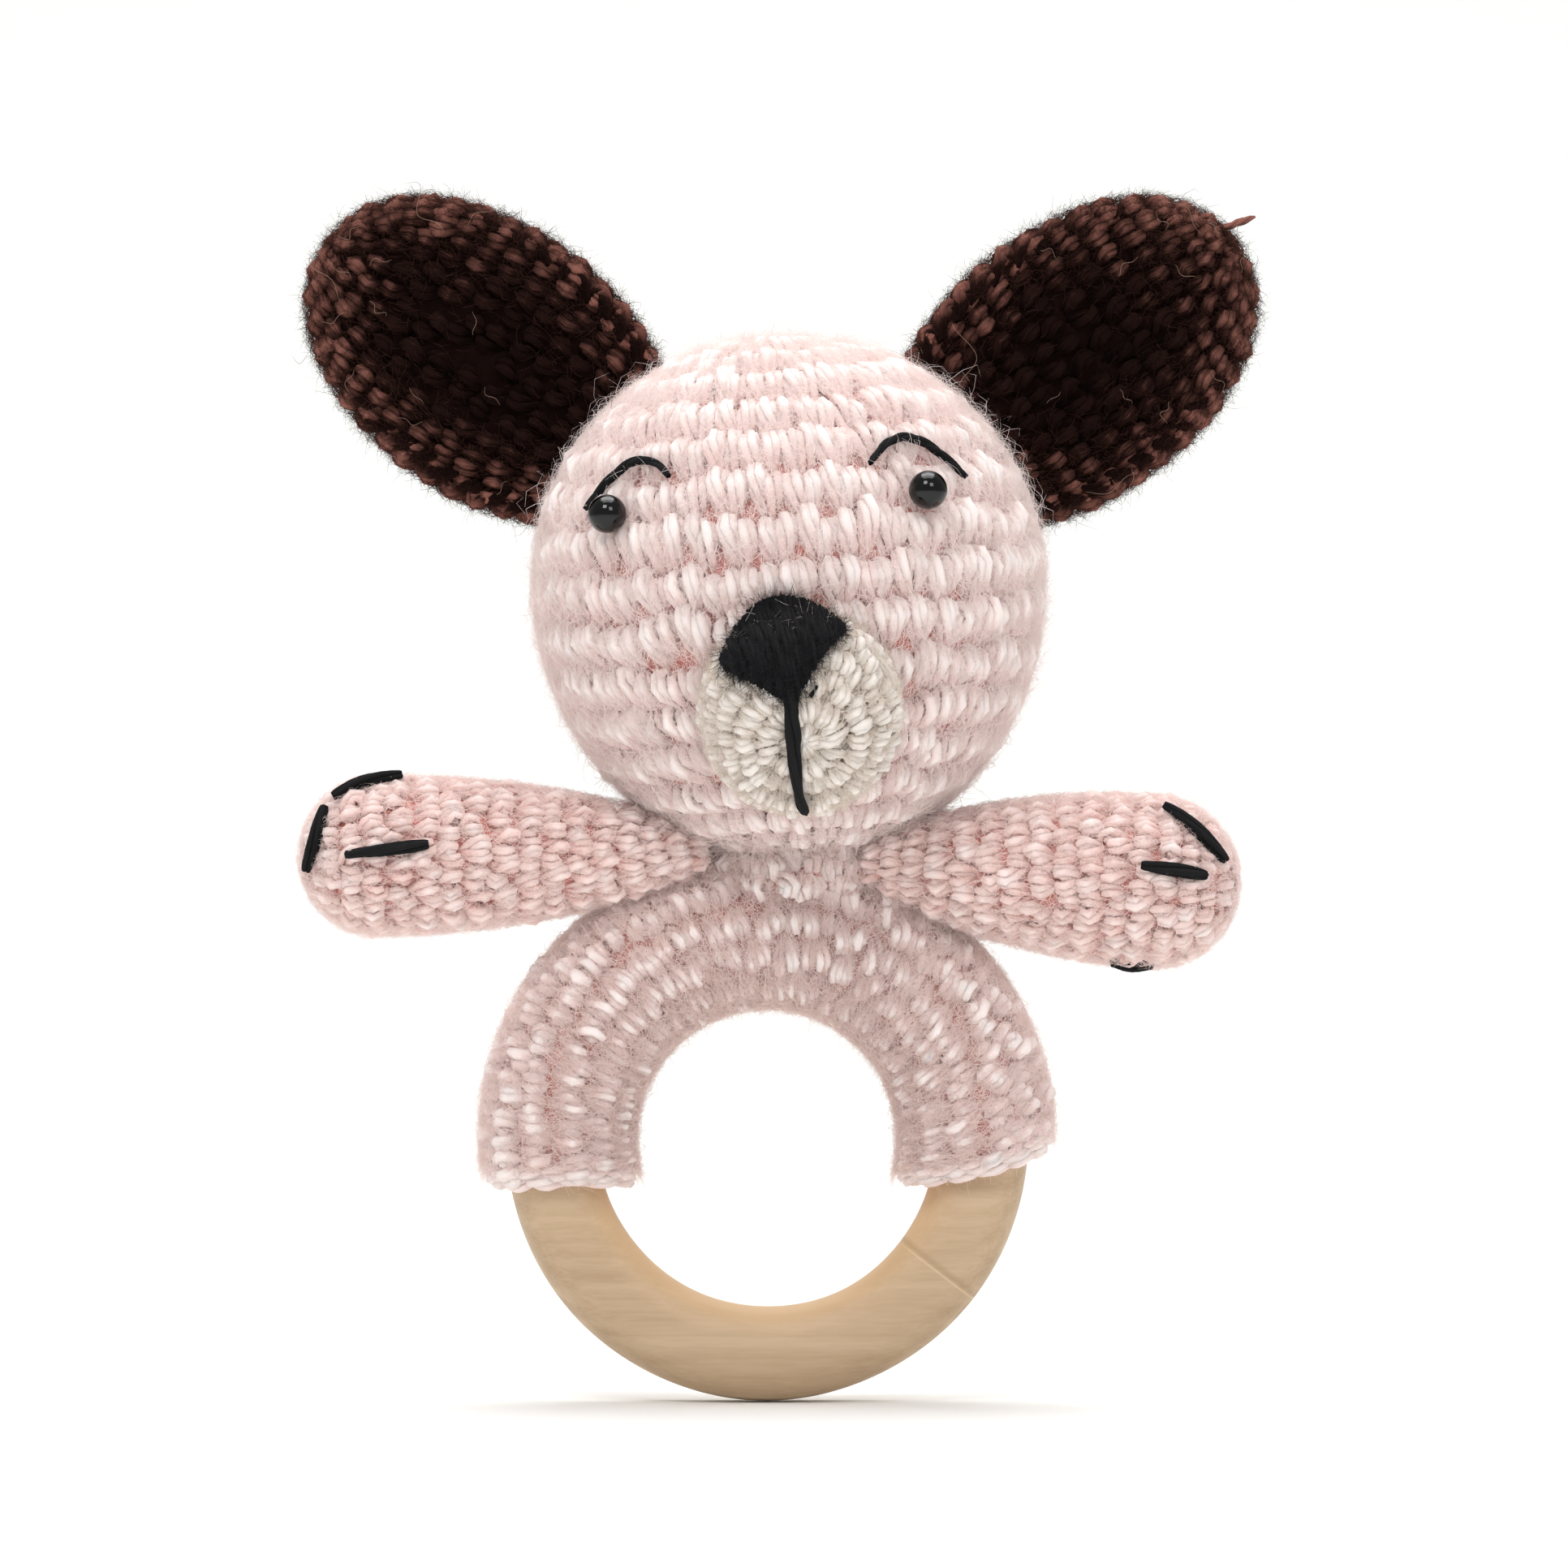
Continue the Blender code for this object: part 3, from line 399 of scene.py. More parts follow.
def new_piece(name, points, quads, material, uv=None, depth=None):
    """A smooth mesh of four-cornered faces; uv is one pair and depth one number for each point."""
    mesh = bpy.data.meshes.new(name)
    points = np.asarray(points, np.float32).reshape(-1, 3)
    quads = np.asarray(quads, np.int32).reshape(-1, 4)
    mesh.vertices.add(len(points))
    mesh.vertices.foreach_set("co", points.ravel())
    mesh.loops.add(quads.size)
    mesh.loops.foreach_set("vertex_index", quads.ravel())
    mesh.polygons.add(len(quads))
    mesh.polygons.foreach_set("loop_start", np.arange(0, quads.size, 4, dtype=np.int32))
    mesh.polygons.foreach_set("use_smooth", np.ones(len(quads), bool))
    if uv is not None:
        layer = mesh.uv_layers.new(name="yarn")
        layer.data.foreach_set("uv", np.asarray(uv, np.float32)[quads.ravel()].ravel())
    if depth is not None:
        attribute = mesh.attributes.new("depth", "FLOAT", "POINT")
        attribute.data.foreach_set("value", np.asarray(depth, np.float32).ravel())
    mesh.update()
    mesh.validate()
    mesh.materials.append(material)
    made = bpy.data.objects.new(name, mesh)
    bpy.context.scene.collection.objects.link(made)
    return made


PLY_SPREAD = 0.78  # how far apart the plies lie, where 1 is side by side


def unit(vectors):
    return vectors / np.maximum(np.linalg.norm(vectors, axis=-1, keepdims=True), 1e-12)


def grid_quads(rows, columns, wrap):
    """Faces between neighbouring points of a grid, whose columns may close on themselves."""
    across = np.arange(columns if wrap else columns - 1)
    beside = (across + 1) % columns
    starts = np.arange(rows - 1)[:, None] * columns
    faces = [starts + across, starts + beside, starts + columns + beside, starts + columns + across]
    return np.stack(faces, -1).reshape(-1, 4)


def spin(lines, normals, depths, sizes, plies, ply_radius, lay, sides=6, ends=0.35, rough=0.1):
    """Plied yarn along many lines at once.

    lines and normals are (line, point, 3), depths is (line, point), and sizes has each line's
    or each point's share of the full thickness. The plies turn round the line once in each lay,
    and draw in to a share of their size at both ends.
    """
    count, steps, _ = lines.shape
    along = unit(np.gradient(lines, axis=1))
    across = unit(np.cross(along, normals))
    up = np.cross(across, along)
    gaps = np.linalg.norm(np.diff(lines, axis=1), axis=-1)
    run = np.concatenate([np.zeros((count, 1)), np.cumsum(gaps, axis=1)], axis=1)
    share = np.linspace(0, 1, steps)
    size = (ends + (1 - ends) * np.sin(np.pi * share) ** 0.5) * np.reshape(sizes, (count, -1))
    offset = ply_radius / math.sin(math.pi / plies) * PLY_SPREAD if plies > 1 else 0.0
    start = chance.uniform(0, math.tau, (count, 1))
    around = np.linspace(0, math.tau, sides, endpoint=False)
    points, depth_out, uv = [], [], []
    for ply in range(plies):
        turn = start + math.tau * ply / plies + run / lay * math.tau
        turn = turn + chance.normal(0, 0.25, (count, 1))
        lean = np.cos(turn)[..., None] * across + np.sin(turn)[..., None] * up
        apart = offset * size * (1 + chance.normal(0, rough, (count, 1)))
        middle = lines + lean * apart[..., None]
        ring = (
            np.cos(around)[None, None, :, None] * across[:, :, None]
            + np.sin(around)[None, None, :, None] * up[:, :, None]
        )
        thick = ply_radius * size * (1 + chance.normal(0, rough, (count, steps)))
        body = middle[:, :, None] + ring * thick[..., None, None]
        points.append(body)
        # Painted light and shade: each ply is lighter where it lies on top and on its upper side,
        # and darker beneath and where it turns in towards its neighbours.
        proud = (np.sin(turn) * 0.12)[:, :, None] + np.sin(around)[None, None] * 0.12
        depth_out.append(depths[:, :, None] + proud)
        sideways = np.broadcast_to(around * ply_radius, body.shape[:3]) + start[:, :, None]
        uv.append(np.stack([np.broadcast_to(run[..., None], body.shape[:3]), sideways], -1))
    points = np.stack(points, 1).reshape(-1, 3)
    faces = grid_quads(steps, sides, True)
    blocks = np.arange(count * plies)[:, None, None] * (steps * sides)
    quads = (faces[None] + blocks).reshape(-1, 4)
    uv = np.stack(uv, 1).reshape(-1, 2) / MM
    return points, quads, uv, np.stack(depth_out, 1).ravel()


def yarn_piece(name, material, parts):
    """One piece from several spun parts."""
    points, quads, uvs, depths = zip(*parts)
    firsts = np.cumsum([0] + [len(part) for part in points])
    quads = [part + first for part, first in zip(quads, firsts)]
    points, quads, uvs, depths = map(np.concatenate, (points, quads, uvs, depths))
    return new_piece(name, points, quads, material, uvs, depths)


# ---------------------------------------------------------------- surfaces that stitches lie on


class Cover:
    """A stuffed crocheted shape, worked in rounds from its closed tip.

    profile holds (half width, half thickness, height) from the tip, and place puts its height
    along the shape's own axis, with the face side towards local -Y. A flat shape can be cupped,
    so that its middle lies back from its rim.
    """

    def __init__(self, profile, place, cup=0.0):
        self.profile = np.array(profile, float)
        self.cup = cup
        self.place = np.array(place, float)
        steps = np.linalg.norm(np.diff(self.profile[:, [0, 2]], axis=0), axis=1)
        self.ways = np.concatenate([[0], np.cumsum(steps)])
        self.length = self.ways[-1]

    def girth(self, way):
        a, b = (np.interp(way, self.ways, self.profile[:, i]) for i in (0, 1))
        return math.pi * (3 * (a + b) - np.sqrt((3 * a + b) * (a + 3 * b)))

    def local(self, turn, way):
        a, b, height = (np.interp(way, self.ways, self.profile[:, i]) for i in range(3))
        angle = math.tau * turn
        back = self.cup * self.middleness(a * np.sin(angle), height)
        return np.stack([a * np.sin(angle), back - b * np.cos(angle), height], -1)

    def middleness(self, across, height):
        """1 in the middle of the shape's face, down to 0 at its outline."""
        half_width, half_height = self.profile[:, 0].max(), np.abs(self.profile[:, 2]).max()
        return np.clip(1 - (across / half_width) ** 2 - (height / half_height) ** 2, 0, 1)

    def at(self, turn, way, lift=0.0):
        """Points on the cover, raised by lift, and the directions that it faces there."""
        turn, way, lift = np.broadcast_arrays(turn, way, lift)
        inside = np.clip(way, 0.05 * MM, self.length)
        spot = self.local(turn, inside)
        near = 0.2 * MM
        down = self.local(turn, np.minimum(inside + near, self.length))
        down = down - self.local(turn, np.maximum(inside - near, 0))
        around = self.local(turn + 0.002, inside) - self.local(turn - 0.002, inside)
        normal = unit(np.cross(down, around))
        spot = spot + normal * lift[..., None]
        turned = self.place[:3, :3]
        return spot @ turned.T + self.place[:3, 3], normal @ turned.T


class Tunnel:
    """The sleeve: a closed section swept round the ring, with turn 0 to 1 from end to end."""

    def __init__(self):
        angles = np.linspace(0, math.tau, 361)
        wide, deep = self.section(angles)
        steps = np.hypot(np.diff(wide), np.diff(deep))
        self.angles = angles
        self.ways = np.concatenate([[0], np.cumsum(steps)])
        self.length = self.ways[-1]

    @staticmethod
    def section(angle):
        """How far out from the middle line, and how far towards the face, the section is."""
        power = 2 / SLEEVE_SQUARENESS
        c, s = np.cos(angle), np.sin(angle)
        wide = np.sign(c) * np.abs(c) ** power * SLEEVE_HALF_WIDTH
        return wide, np.sign(s) * np.abs(s) ** power * SLEEVE_HALF_FACE

    def girth(self, way):
        """The length of a round from end to end."""
        wide, _ = self.section(np.interp(way % self.length, self.ways, self.angles))
        return (SLEEVE_MIDDLE + wide) * SLEEVE_SWEEP

    def at(self, turn, way, lift=0.0):
        turn, way, lift = np.broadcast_arrays(turn, way, lift)
        way = way + SLEEVE_TWIST * (0.3 - np.sin(np.pi * turn.clip(0, 1)))
        angle = np.interp(way % self.length, self.ways, self.angles)
        wide, deep = self.section(angle)
        later, earlier = self.section(angle + 0.02), self.section(angle - 0.02)
        slope_wide, slope_deep = later[0] - earlier[0], later[1] - earlier[1]
        size = np.hypot(slope_wide, slope_deep)
        normal_wide, normal_deep = slope_deep / size, -slope_wide / size
        radius = SLEEVE_MIDDLE + wide + normal_wide * lift
        front = deep + normal_deep * lift
        left = math.pi + np.arcsin(SLEEVE_LEFT_DROP / radius)
        share = (radius - SLEEVE_MIDDLE) / SLEEVE_HALF_WIDTH / 2 + 0.5
        right = SLEEVE_RIGHT_END[0] + (SLEEVE_RIGHT_END[1] - SLEEVE_RIGHT_END[0]) * share
        swept = left + (right - left) * turn
        c, s = np.cos(swept), np.sin(swept)
        spot = np.stack([radius * c, -front, radius * s], -1)
        return spot, np.stack([normal_wide * c, -normal_deep, normal_wide * s], -1)


def ground(name, cover, material, lift, columns, rows):
    """The fabric behind the stitches, coloured darker as painted shade, which shows as the dark of
    the holes.
    """
    turn = np.linspace(0, 1, columns, endpoint=False)[None]
    way = np.linspace(0, cover.length, rows)[:, None]
    points, _ = cover.at(turn, way, lift + chance.normal(0, 0.05 * MM, (rows, columns)))
    quads = grid_quads(rows, columns, isinstance(cover, Cover))
    uv = np.stack(np.broadcast_arrays(turn * 60, way / MM), -1).reshape(-1, 2)
    return new_piece(name, points, quads, material, uv, np.full(rows * columns, 0.3))


# ---------------------------------------------------------------- stitches

# One leg of a stitch, from its hole to where it tucks under the next round: across in stitch
# widths, up in rounds, height in leg radii over the middle of the fabric, and thickness.
LEG = np.array(
    [
        (0.03, -0.14, -2.2, 0.75),
        (0.06, 0.00, -1.65, 0.80),
        (0.11, 0.20, -1.10, 0.88),
        (0.17, 0.42, -0.58, 1.00),
        (0.225, 0.64, -0.12, 1.12),
        (0.25, 0.84, 0.18, 1.20),
        (0.24, 0.98, 0.02, 1.18),
        (0.21, 1.06, -0.60, 1.00),
        (0.18, 1.09, -1.40, 0.75),
    ]
)


# The arms' stitches are shorter and lean more.
LEG_SLANT = np.array((-0.03, -0.04, -0.05, -0.02, 0.01, 0.03, 0.03, 0.02, 0.0))
SLANTED_LEG = LEG + LEG_SLANT[:, None] * np.array((1, 0, 0, 0))


def stitch_legs(cover, rounds, leg_radius, upward, shape=LEG, loose=0.06):
    """Lines for both legs of every stitch.

    rounds holds (way at the hole, round height, stitches, shift) and upward is -1 where stitches
    point back to the tip. A leg is as thick as its share of the round allows.
    """
    lines, normals, depths, sizes = [], [], [], []
    for hole_way, height, count, shift in rounds:
        room = float(cover.girth(hole_way + upward * height / 2)) / count
        size = np.clip(0.27 * room / leg_radius, 0.55, 1.3)
        column = np.arange(count)
        middle = (column + shift) / count
        wander = chance.normal(0, loose, (count, 2, 1))
        swell = chance.normal(0, loose, (count, 2, 1))
        tall = 1 + chance.normal(0, loose, (count, 2, 1))
        mirror = np.array([-1.0, 1.0])[None, :, None]
        across = shape[None, None, :, 0] * mirror * (1 + swell) + wander * 0.5
        turn = middle[:, None, None] + across / count
        way = hole_way + upward * (shape[None, None, :, 1] * tall + wander * 0.6) * height
        lift = (shape[None, None, :, 2] + swell * 1.5 - 1.0) * leg_radius * size
        spots, facing = cover.at(turn, way, lift)
        lines.append(spots.reshape(-1, len(shape), 3))
        normals.append(facing.reshape(-1, len(shape), 3))
        # Each leg's own tone varies at random. On top of that, painted shade darkens a leg where it
        # sinks into its hole and tucks under the next round, and it is painted lighter where it
        # stands proud.
        tone = chance.normal(0, 0.07, (count, 2, 1))
        deep = np.clip(0.78 + shape[None, None, :, 2] * 0.42, 0, 1) + tone
        depths.append(np.broadcast_to(deep, turn.shape).reshape(-1, len(shape)))
        sizes.append(np.tile(size * shape[:, 3], (count * 2, 1)))
    return [np.concatenate(part) for part in (lines, normals, depths, sizes)]


def rounds_of(cover, round_height, stitch_width, upward):
    """Evenly spaced rounds from the tip of a cover, each with as many stitches as fit."""
    count = round(cover.length / round_height)
    height = cover.length / count
    rounds = []
    for i in range(count):
        middle = (i + 0.5) * height
        stitches = max(5, round(float(cover.girth(middle)) / stitch_width))
        hole = (i + 1) * height if upward < 0 else i * height
        rounds.append((hole, height, stitches, 0.27 * i + chance.uniform(-0.12, 0.12)))
    return rounds


def rolled_rim(tunnel, count):
    """The last stitches at both ends lie along the edge, and roll in to the wood."""
    lines, normals = [], []
    share = np.linspace(0, 1, 9)[None]
    bow = np.sin(math.pi * share)
    for end in (0, 1):
        for lift, past, shift in ((-1.5, -0.5, 0.0), (-1.9, 0.5, 0.5), (-3.2, 0.1, 0.25)):
            sway = chance.normal(0, 0.12, (count, 1))
            step = np.arange(count)[:, None] + shift + (share - 0.5) * 1.35
            way = step * tunnel.length / count
            beyond = (past + 0.35 * bow + sway) * MM / SLEEVE_MIDDLE / SLEEVE_SWEEP
            turn = 1 + beyond if end else -beyond
            spots, facing = tunnel.at(turn, way, (lift - 0.8 * (1 - bow)) * MM)
            lines.append(spots)
            normals.append(facing)
    lines, normals = np.concatenate(lines), np.concatenate(normals)
    # Painted shade: each rim strand is darker towards its ends, where it sinks and rolls in.
    depths = np.broadcast_to(0.35 + 0.4 * bow, lines.shape[:2])
    return lines, normals, depths, np.ones(len(lines))


def fuzz(name, cover, count, material, length, rise, width, bare=0.0):
    """Short loose fibres: ribbons that leave the yarn and curl away along it.

    bare is the share that is missing from the middle of a cover's face side, which leaves that
    middle darker as painted shade.
    """
    steps = 200
    way_table = np.linspace(0.3 * MM, cover.length, steps)
    weights = cover.girth(way_table) if isinstance(cover, Cover) else np.ones(steps)
    way = chance.choice(way_table, count, p=weights / weights.sum())
    way = way + chance.uniform(-1, 1, count) * cover.length / steps / 2
    turn = chance.uniform(0, 1, count)
    if bare:
        spot = cover.local(turn, way)
        sparse = bare * cover.middleness(spot[:, 0], spot[:, 2]) * (np.cos(math.tau * turn) > 0)
        kept = chance.uniform(0, 1, count) > sparse
        turn, way = turn[kept], way[kept]
    root, normal = cover.at(turn, way, -0.5 * MM)
    ahead, _ = cover.at(turn, np.minimum(way + 0.5 * MM, cover.length), -0.5 * MM)
    down = unit(ahead - root + 1e-9)
    return loose_fibres(name, root, normal, down, material, length, rise, width, 0.5)


def loose_fibres(name, root, normal, down, material, length, rise, width, spread):
    """Ribbons from each root, which rise off the yarn and head along down, or up.

    spread is how far they stray sideways from it, where 1 is as far in every direction.
    """
    count = len(root)
    sideways = unit(np.cross(normal, down))
    heading = chance.normal(0, 1, (count, 2))
    heading[:, 0] *= spread
    flat = unit(down * heading[:, 1:2] + sideways * heading[:, 0:1])
    bend = unit(np.cross(normal, flat)) * chance.normal(0, 0.5, (count, 1))
    reach = length * chance.uniform(0.4, 1.3, (count, 1))
    height = rise * chance.gamma(1.5, 0.5, (count, 1)) + 0.5 * MM
    steps = np.linspace(0, 1, 4)
    spots = []
    for t in steps:
        risen = normal * height * math.sin(t * 2.2) * 0.9
        spots.append(root + flat * reach * t + bend * reach * t * t + risen)
    spots = np.stack(spots, 1)
    direction = unit(np.gradient(spots, axis=1))
    tilt = chance.normal(0, 1, (count, 1, 3))
    broad = unit(np.cross(direction, tilt)) * (width / 2) * (1 - 0.8 * steps)[None, :, None]
    points = np.stack([spots - broad, spots + broad], 2)
    faces = grid_quads(4, 2, False)
    quads = faces[None] + (np.arange(count) * 8)[:, None, None]
    return new_piece(name, points, quads, material)


# ---------------------------------------------------------------- places of the bodies


def joint(name):
    return next(j for j in frame["joints"] if j["name"] == name)


def frame_at(origin, x, y, z):
    turned = Matrix((x, y, z)).transposed().to_4x4()
    return Matrix.Translation(origin) @ turned


def head_place():
    up = Vector(joint("bead_1_slide")["axis"])
    neck = Vector(joint("head_nod")["pos_m"])
    y = Vector((0, 1, 0))
    return frame_at(neck + up * HEAD_RISE, y.cross(up), y, up)


def ear_place(side):
    along = Vector(joint(f"{side}_ear_flap")["axis"])
    out = Vector((-along.z, 0, along.x))
    y = Vector((0, 1, 0))
    seam = Vector(joint(f"{side}_ear_flap")["pos_m"])
    return frame_at(seam + out * EAR_OVERHANG[side], y.cross(out), y, out)


def arm_place(side):
    out = -1 if side == "left" else 1
    way = Vector((out * math.cos(ARM_SLOPE[side]), 0, math.sin(ARM_SLOPE[side])))
    y = Vector((0, 1, 0))
    return frame_at(Vector(joint(f"{side}_arm_raise")["pos_m"]), y.cross(way), y, way)


def egg_point(turn, rise):
    height = HEAD_UPPER_HEIGHT if rise > 0 else HEAD_LOWER_HEIGHT
    across = HEAD_RADIUS * math.cos(rise)
    return Vector((across * math.sin(turn), -across * math.cos(turn), height * math.sin(rise)))


def egg_normal(point):
    height = HEAD_UPPER_HEIGHT if point.z > 0 else HEAD_LOWER_HEIGHT
    wide = HEAD_RADIUS**2
    return Vector((point.x / wide, point.y / wide, point.z / height**2)).normalized()


def muzzle_place():
    """A frame on the head with its height out of the face and its own -Y downwards."""
    base = egg_point(MUZZLE_TURN, -MUZZLE_DROP)
    out = egg_normal(base)
    across = Vector((0, 0, 1)).cross(out).normalized()
    head = head_place()
    return head @ frame_at(base, across, out.cross(across), out)


def head_profile():
    angles = np.concatenate(
        [np.linspace(math.pi / 2, 0, 60), np.linspace(0, -HEAD_NECK_ANGLE, 50)[1:]]
    )
    heights = np.where(angles > 0, HEAD_UPPER_HEIGHT, HEAD_LOWER_HEIGHT) * np.sin(angles)
    radii = HEAD_RADIUS * np.cos(angles)
    return np.stack([radii, radii, heights], -1)


def muzzle_profile():
    angles = np.linspace(0, math.pi / 2, 60)
    power = 2 / MUZZLE_SQUARENESS
    across = np.sin(angles) ** power
    height = MUZZLE_RISE * np.cos(angles).clip(0) ** power
    profile = np.stack([across * MUZZLE_HALF_WIDTH, across * MUZZLE_HALF_HEIGHT, height], -1)
    foot = profile[-1] - np.array([0, 0, 3.5 * MM])
    return np.concatenate([profile, foot[None]])


def ear_profile():
    angles = np.linspace(0, math.pi, 90)
    rooted = 0.5 - 0.5 * np.cos(angles)
    wide = EAR_WIDTH / 2 * np.sin(angles).clip(0) ** 0.9
    thick = EAR_THICKNESS / 2 * np.sin(angles).clip(0) ** 0.45
    limit = EAR_THICKNESS / 2 * (1 - rooted) + EAR_ROOT_THICKNESS / 2 * rooted
    return np.stack([wide, np.minimum(thick, limit), EAR_LENGTH / 2 * np.cos(angles)], -1)


def arm_profile(side):
    paw, straight = PAW_RADIUS[side], ARM_REACH[side] - PAW_RADIUS[side]
    angles = np.linspace(math.pi / 2, 0, 30)
    across = paw * np.cos(angles)
    tip = np.stack([across, across, straight + paw * np.sin(angles)], -1)
    share = np.linspace(1, 0, 60)[1:]
    grown = np.sin(share * math.pi / 2) ** ARM_FULLNESS
    radius = ARM_ROOT_RADIUS + (paw - ARM_ROOT_RADIUS) * grown
    height = -ARM_INNER[side] + (straight + ARM_INNER[side]) * share
    return np.concatenate([tip, np.stack([radius, radius, height], -1)])


def belong(body, slot, *parts):
    """These pieces move with a body; the slot argument is not used."""
    for part in parts:
        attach(part, body)


# ---------------------------------------------------------------- wooden ring


def make_ring():
    columns, rows = 192, 48
    turn = np.linspace(0, math.tau, columns, endpoint=False)[:, None]
    around = np.linspace(0, math.tau, rows, endpoint=False)[None]
    power = 2 / RING_SQUARENESS
    c, s = np.cos(around), np.sin(around)
    wide = np.sign(c) * np.abs(c) ** power * RING_HALF_WIDTH
    deep = np.sign(s) * np.abs(s) ** power * RING_HALF_THICKNESS
    sanded = 0.06 * MM * np.sin(3 * turn + 1.0) + 0.04 * MM * np.sin(7 * turn)
    radius = RING_MIDDLE + wide * (1 + sanded / RING_HALF_WIDTH)
    points = np.stack(
        np.broadcast_arrays(radius * np.cos(turn), deep, radius * np.sin(turn)), -1
    )
    faces = grid_quads(columns, rows, True)
    last = (columns - 1) * rows
    across = np.arange(rows)
    beside = (across + 1) % rows
    closing = np.stack([last + across, last + beside, beside, across], -1)
    inner = np.clip(-np.cos(np.broadcast_to(around, points.shape[:2])), 0, 1) ** 2
    quads = np.concatenate([faces, closing])
    ring = new_piece("beech_ring", points, quads, BEECH, depth=inner)
    belong("ring", "beech", ring)
    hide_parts("wooden_ring")


# ---------------------------------------------------------------- crocheted pieces


def make_head():
    cover = Cover(head_profile(), head_place())
    rounds = rounds_of(cover, HEAD_ROUND, HEAD_STITCH, -1)
    half = len(rounds) // 2
    back = ground("head_fabric", cover, PINK_SHADE, -2.6 * MM, 72, 48)
    belong("head", "pink_yarn", back)
    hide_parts("head_cover")
    for name, part in (("head_crown_rounds", rounds[:half]), ("head_face_rounds", rounds[half:])):
        legs = stitch_legs(cover, part, 1.4 * MM, -1, loose=0.1)
        spun = spin(*legs, **HEAD_YARN)
        belong("head", "pink_yarn", yarn_piece(name, PINK_YARN, [spun]))
    for name, count, length, rise in (
        ("head_brushed_fibres_1", 33000, 2.4 * MM, 0.15 * MM),
        ("head_brushed_fibres_2", 33000, 2.4 * MM, 0.3 * MM),
        ("head_raised_fibres", 33000, 3.0 * MM, 0.6 * MM),
        ("head_loose_fibres", 9000, 4.2 * MM, 1.3 * MM),
    ):
        loose = fuzz(name, cover, count, LIT_PINK_FUZZ, length, rise, 0.075 * MM)
        belong("head", "pink_yarn", loose)


def make_neck():
    """A collar of loose stitches under the chin, where head, arms and sleeve are joined."""
    neck = Vector(joint("head_nod")["pos_m"])
    place = Matrix.Translation(neck + Vector((-1.5 * MM, 0, -0.6 * MM)))
    cover = Cover(NECK_COLLAR, place)
    rounds = rounds_of(cover, 3.3 * MM, 5.2 * MM, 1)
    legs = stitch_legs(cover, rounds, 1.35 * MM, 1, SLANTED_LEG, loose=0.16)
    spun = spin(*legs, **COLLAR_YARN)
    piece = yarn_piece("neck_collar_rounds", PINK_YARN, [spun])
    back = ground("neck_collar_fabric", cover, PINK_SHADE, -1.8 * MM, 40, 12)
    loose = fuzz("neck_loose_fibres", cover, 5000, SHADED_PINK_FUZZ, 2.6 * MM, 0.4 * MM, 0.08 * MM)
    belong("neck", "pink_yarn", piece, back, loose)
    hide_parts("neck_yarn")


def make_sleeve():
    tunnel = Tunnel()
    back = ground("sleeve_fabric", tunnel, PINK_SHADE, -2.2 * MM, 90, 60)
    belong("sleeve", "pink_yarn", back)
    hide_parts("ring_sleeve", "sleeve_seam_yarn")
    height = tunnel.length / SLEEVE_ROUNDS
    rounds = []
    for i in range(SLEEVE_ROUNDS):
        apart = SLEEVE_JOIN_GAP if i == SLEEVE_JOIN else 0
        short = SLEEVE_JOIN_GAP if i in (SLEEVE_JOIN - 1, SLEEVE_JOIN) else 0
        way = (i + 0.74) * height + apart
        rounds.append((way, height - short, SLEEVE_STITCHES, 0.25 + 0.5 * (i % 2)))
    legs = stitch_legs(tunnel, rounds, 1.25 * MM, 1, loose=0.12)
    spun = [spin(*part, **SLEEVE_YARN) for part in (legs, rolled_rim(tunnel, 13))]
    belong("sleeve", "pink_yarn", yarn_piece("sleeve_rounds", PINK_YARN, spun))
    for name, count, rise in (
        ("sleeve_brushed_fibres_1", 33000, 0.15 * MM),
        ("sleeve_brushed_fibres_2", 33000, 0.35 * MM),
        ("sleeve_loose_fibres", 12000, 0.7 * MM),
    ):
        loose = fuzz(name, tunnel, count, SHADED_PINK_FUZZ, 2.8 * MM, rise, 0.08 * MM)
        belong("sleeve", "pink_yarn", loose)


def make_arm(side):
    cover = Cover(arm_profile(side), arm_place(side))
    rounds = rounds_of(cover, 3.5 * MM, 4.3 * MM, 1)
    back = ground(f"{side}_arm_fabric", cover, PINK_SHADE, -1.8 * MM, 40, 40)
    lines, normals, depths, sizes = stitch_legs(
        cover, rounds, 1.1 * MM, 1, SLANTED_LEG, loose=0.12
    )
    spun = spin(lines, normals, depths - ARM_SHADE, sizes, **ARM_YARN)
    piece = yarn_piece(f"{side}_arm_rounds", PINK_YARN, [spun])
    loose = fuzz(
        f"{side}_arm_loose_fibres", cover, 20000, SHADED_PINK_FUZZ, 2.2 * MM, 0.3 * MM, 0.075 * MM
    )
    belong(f"{side}_arm", "pink_yarn", back, piece, loose)
    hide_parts(f"{side}_arm_cover", f"{side}_shoulder_yarn")


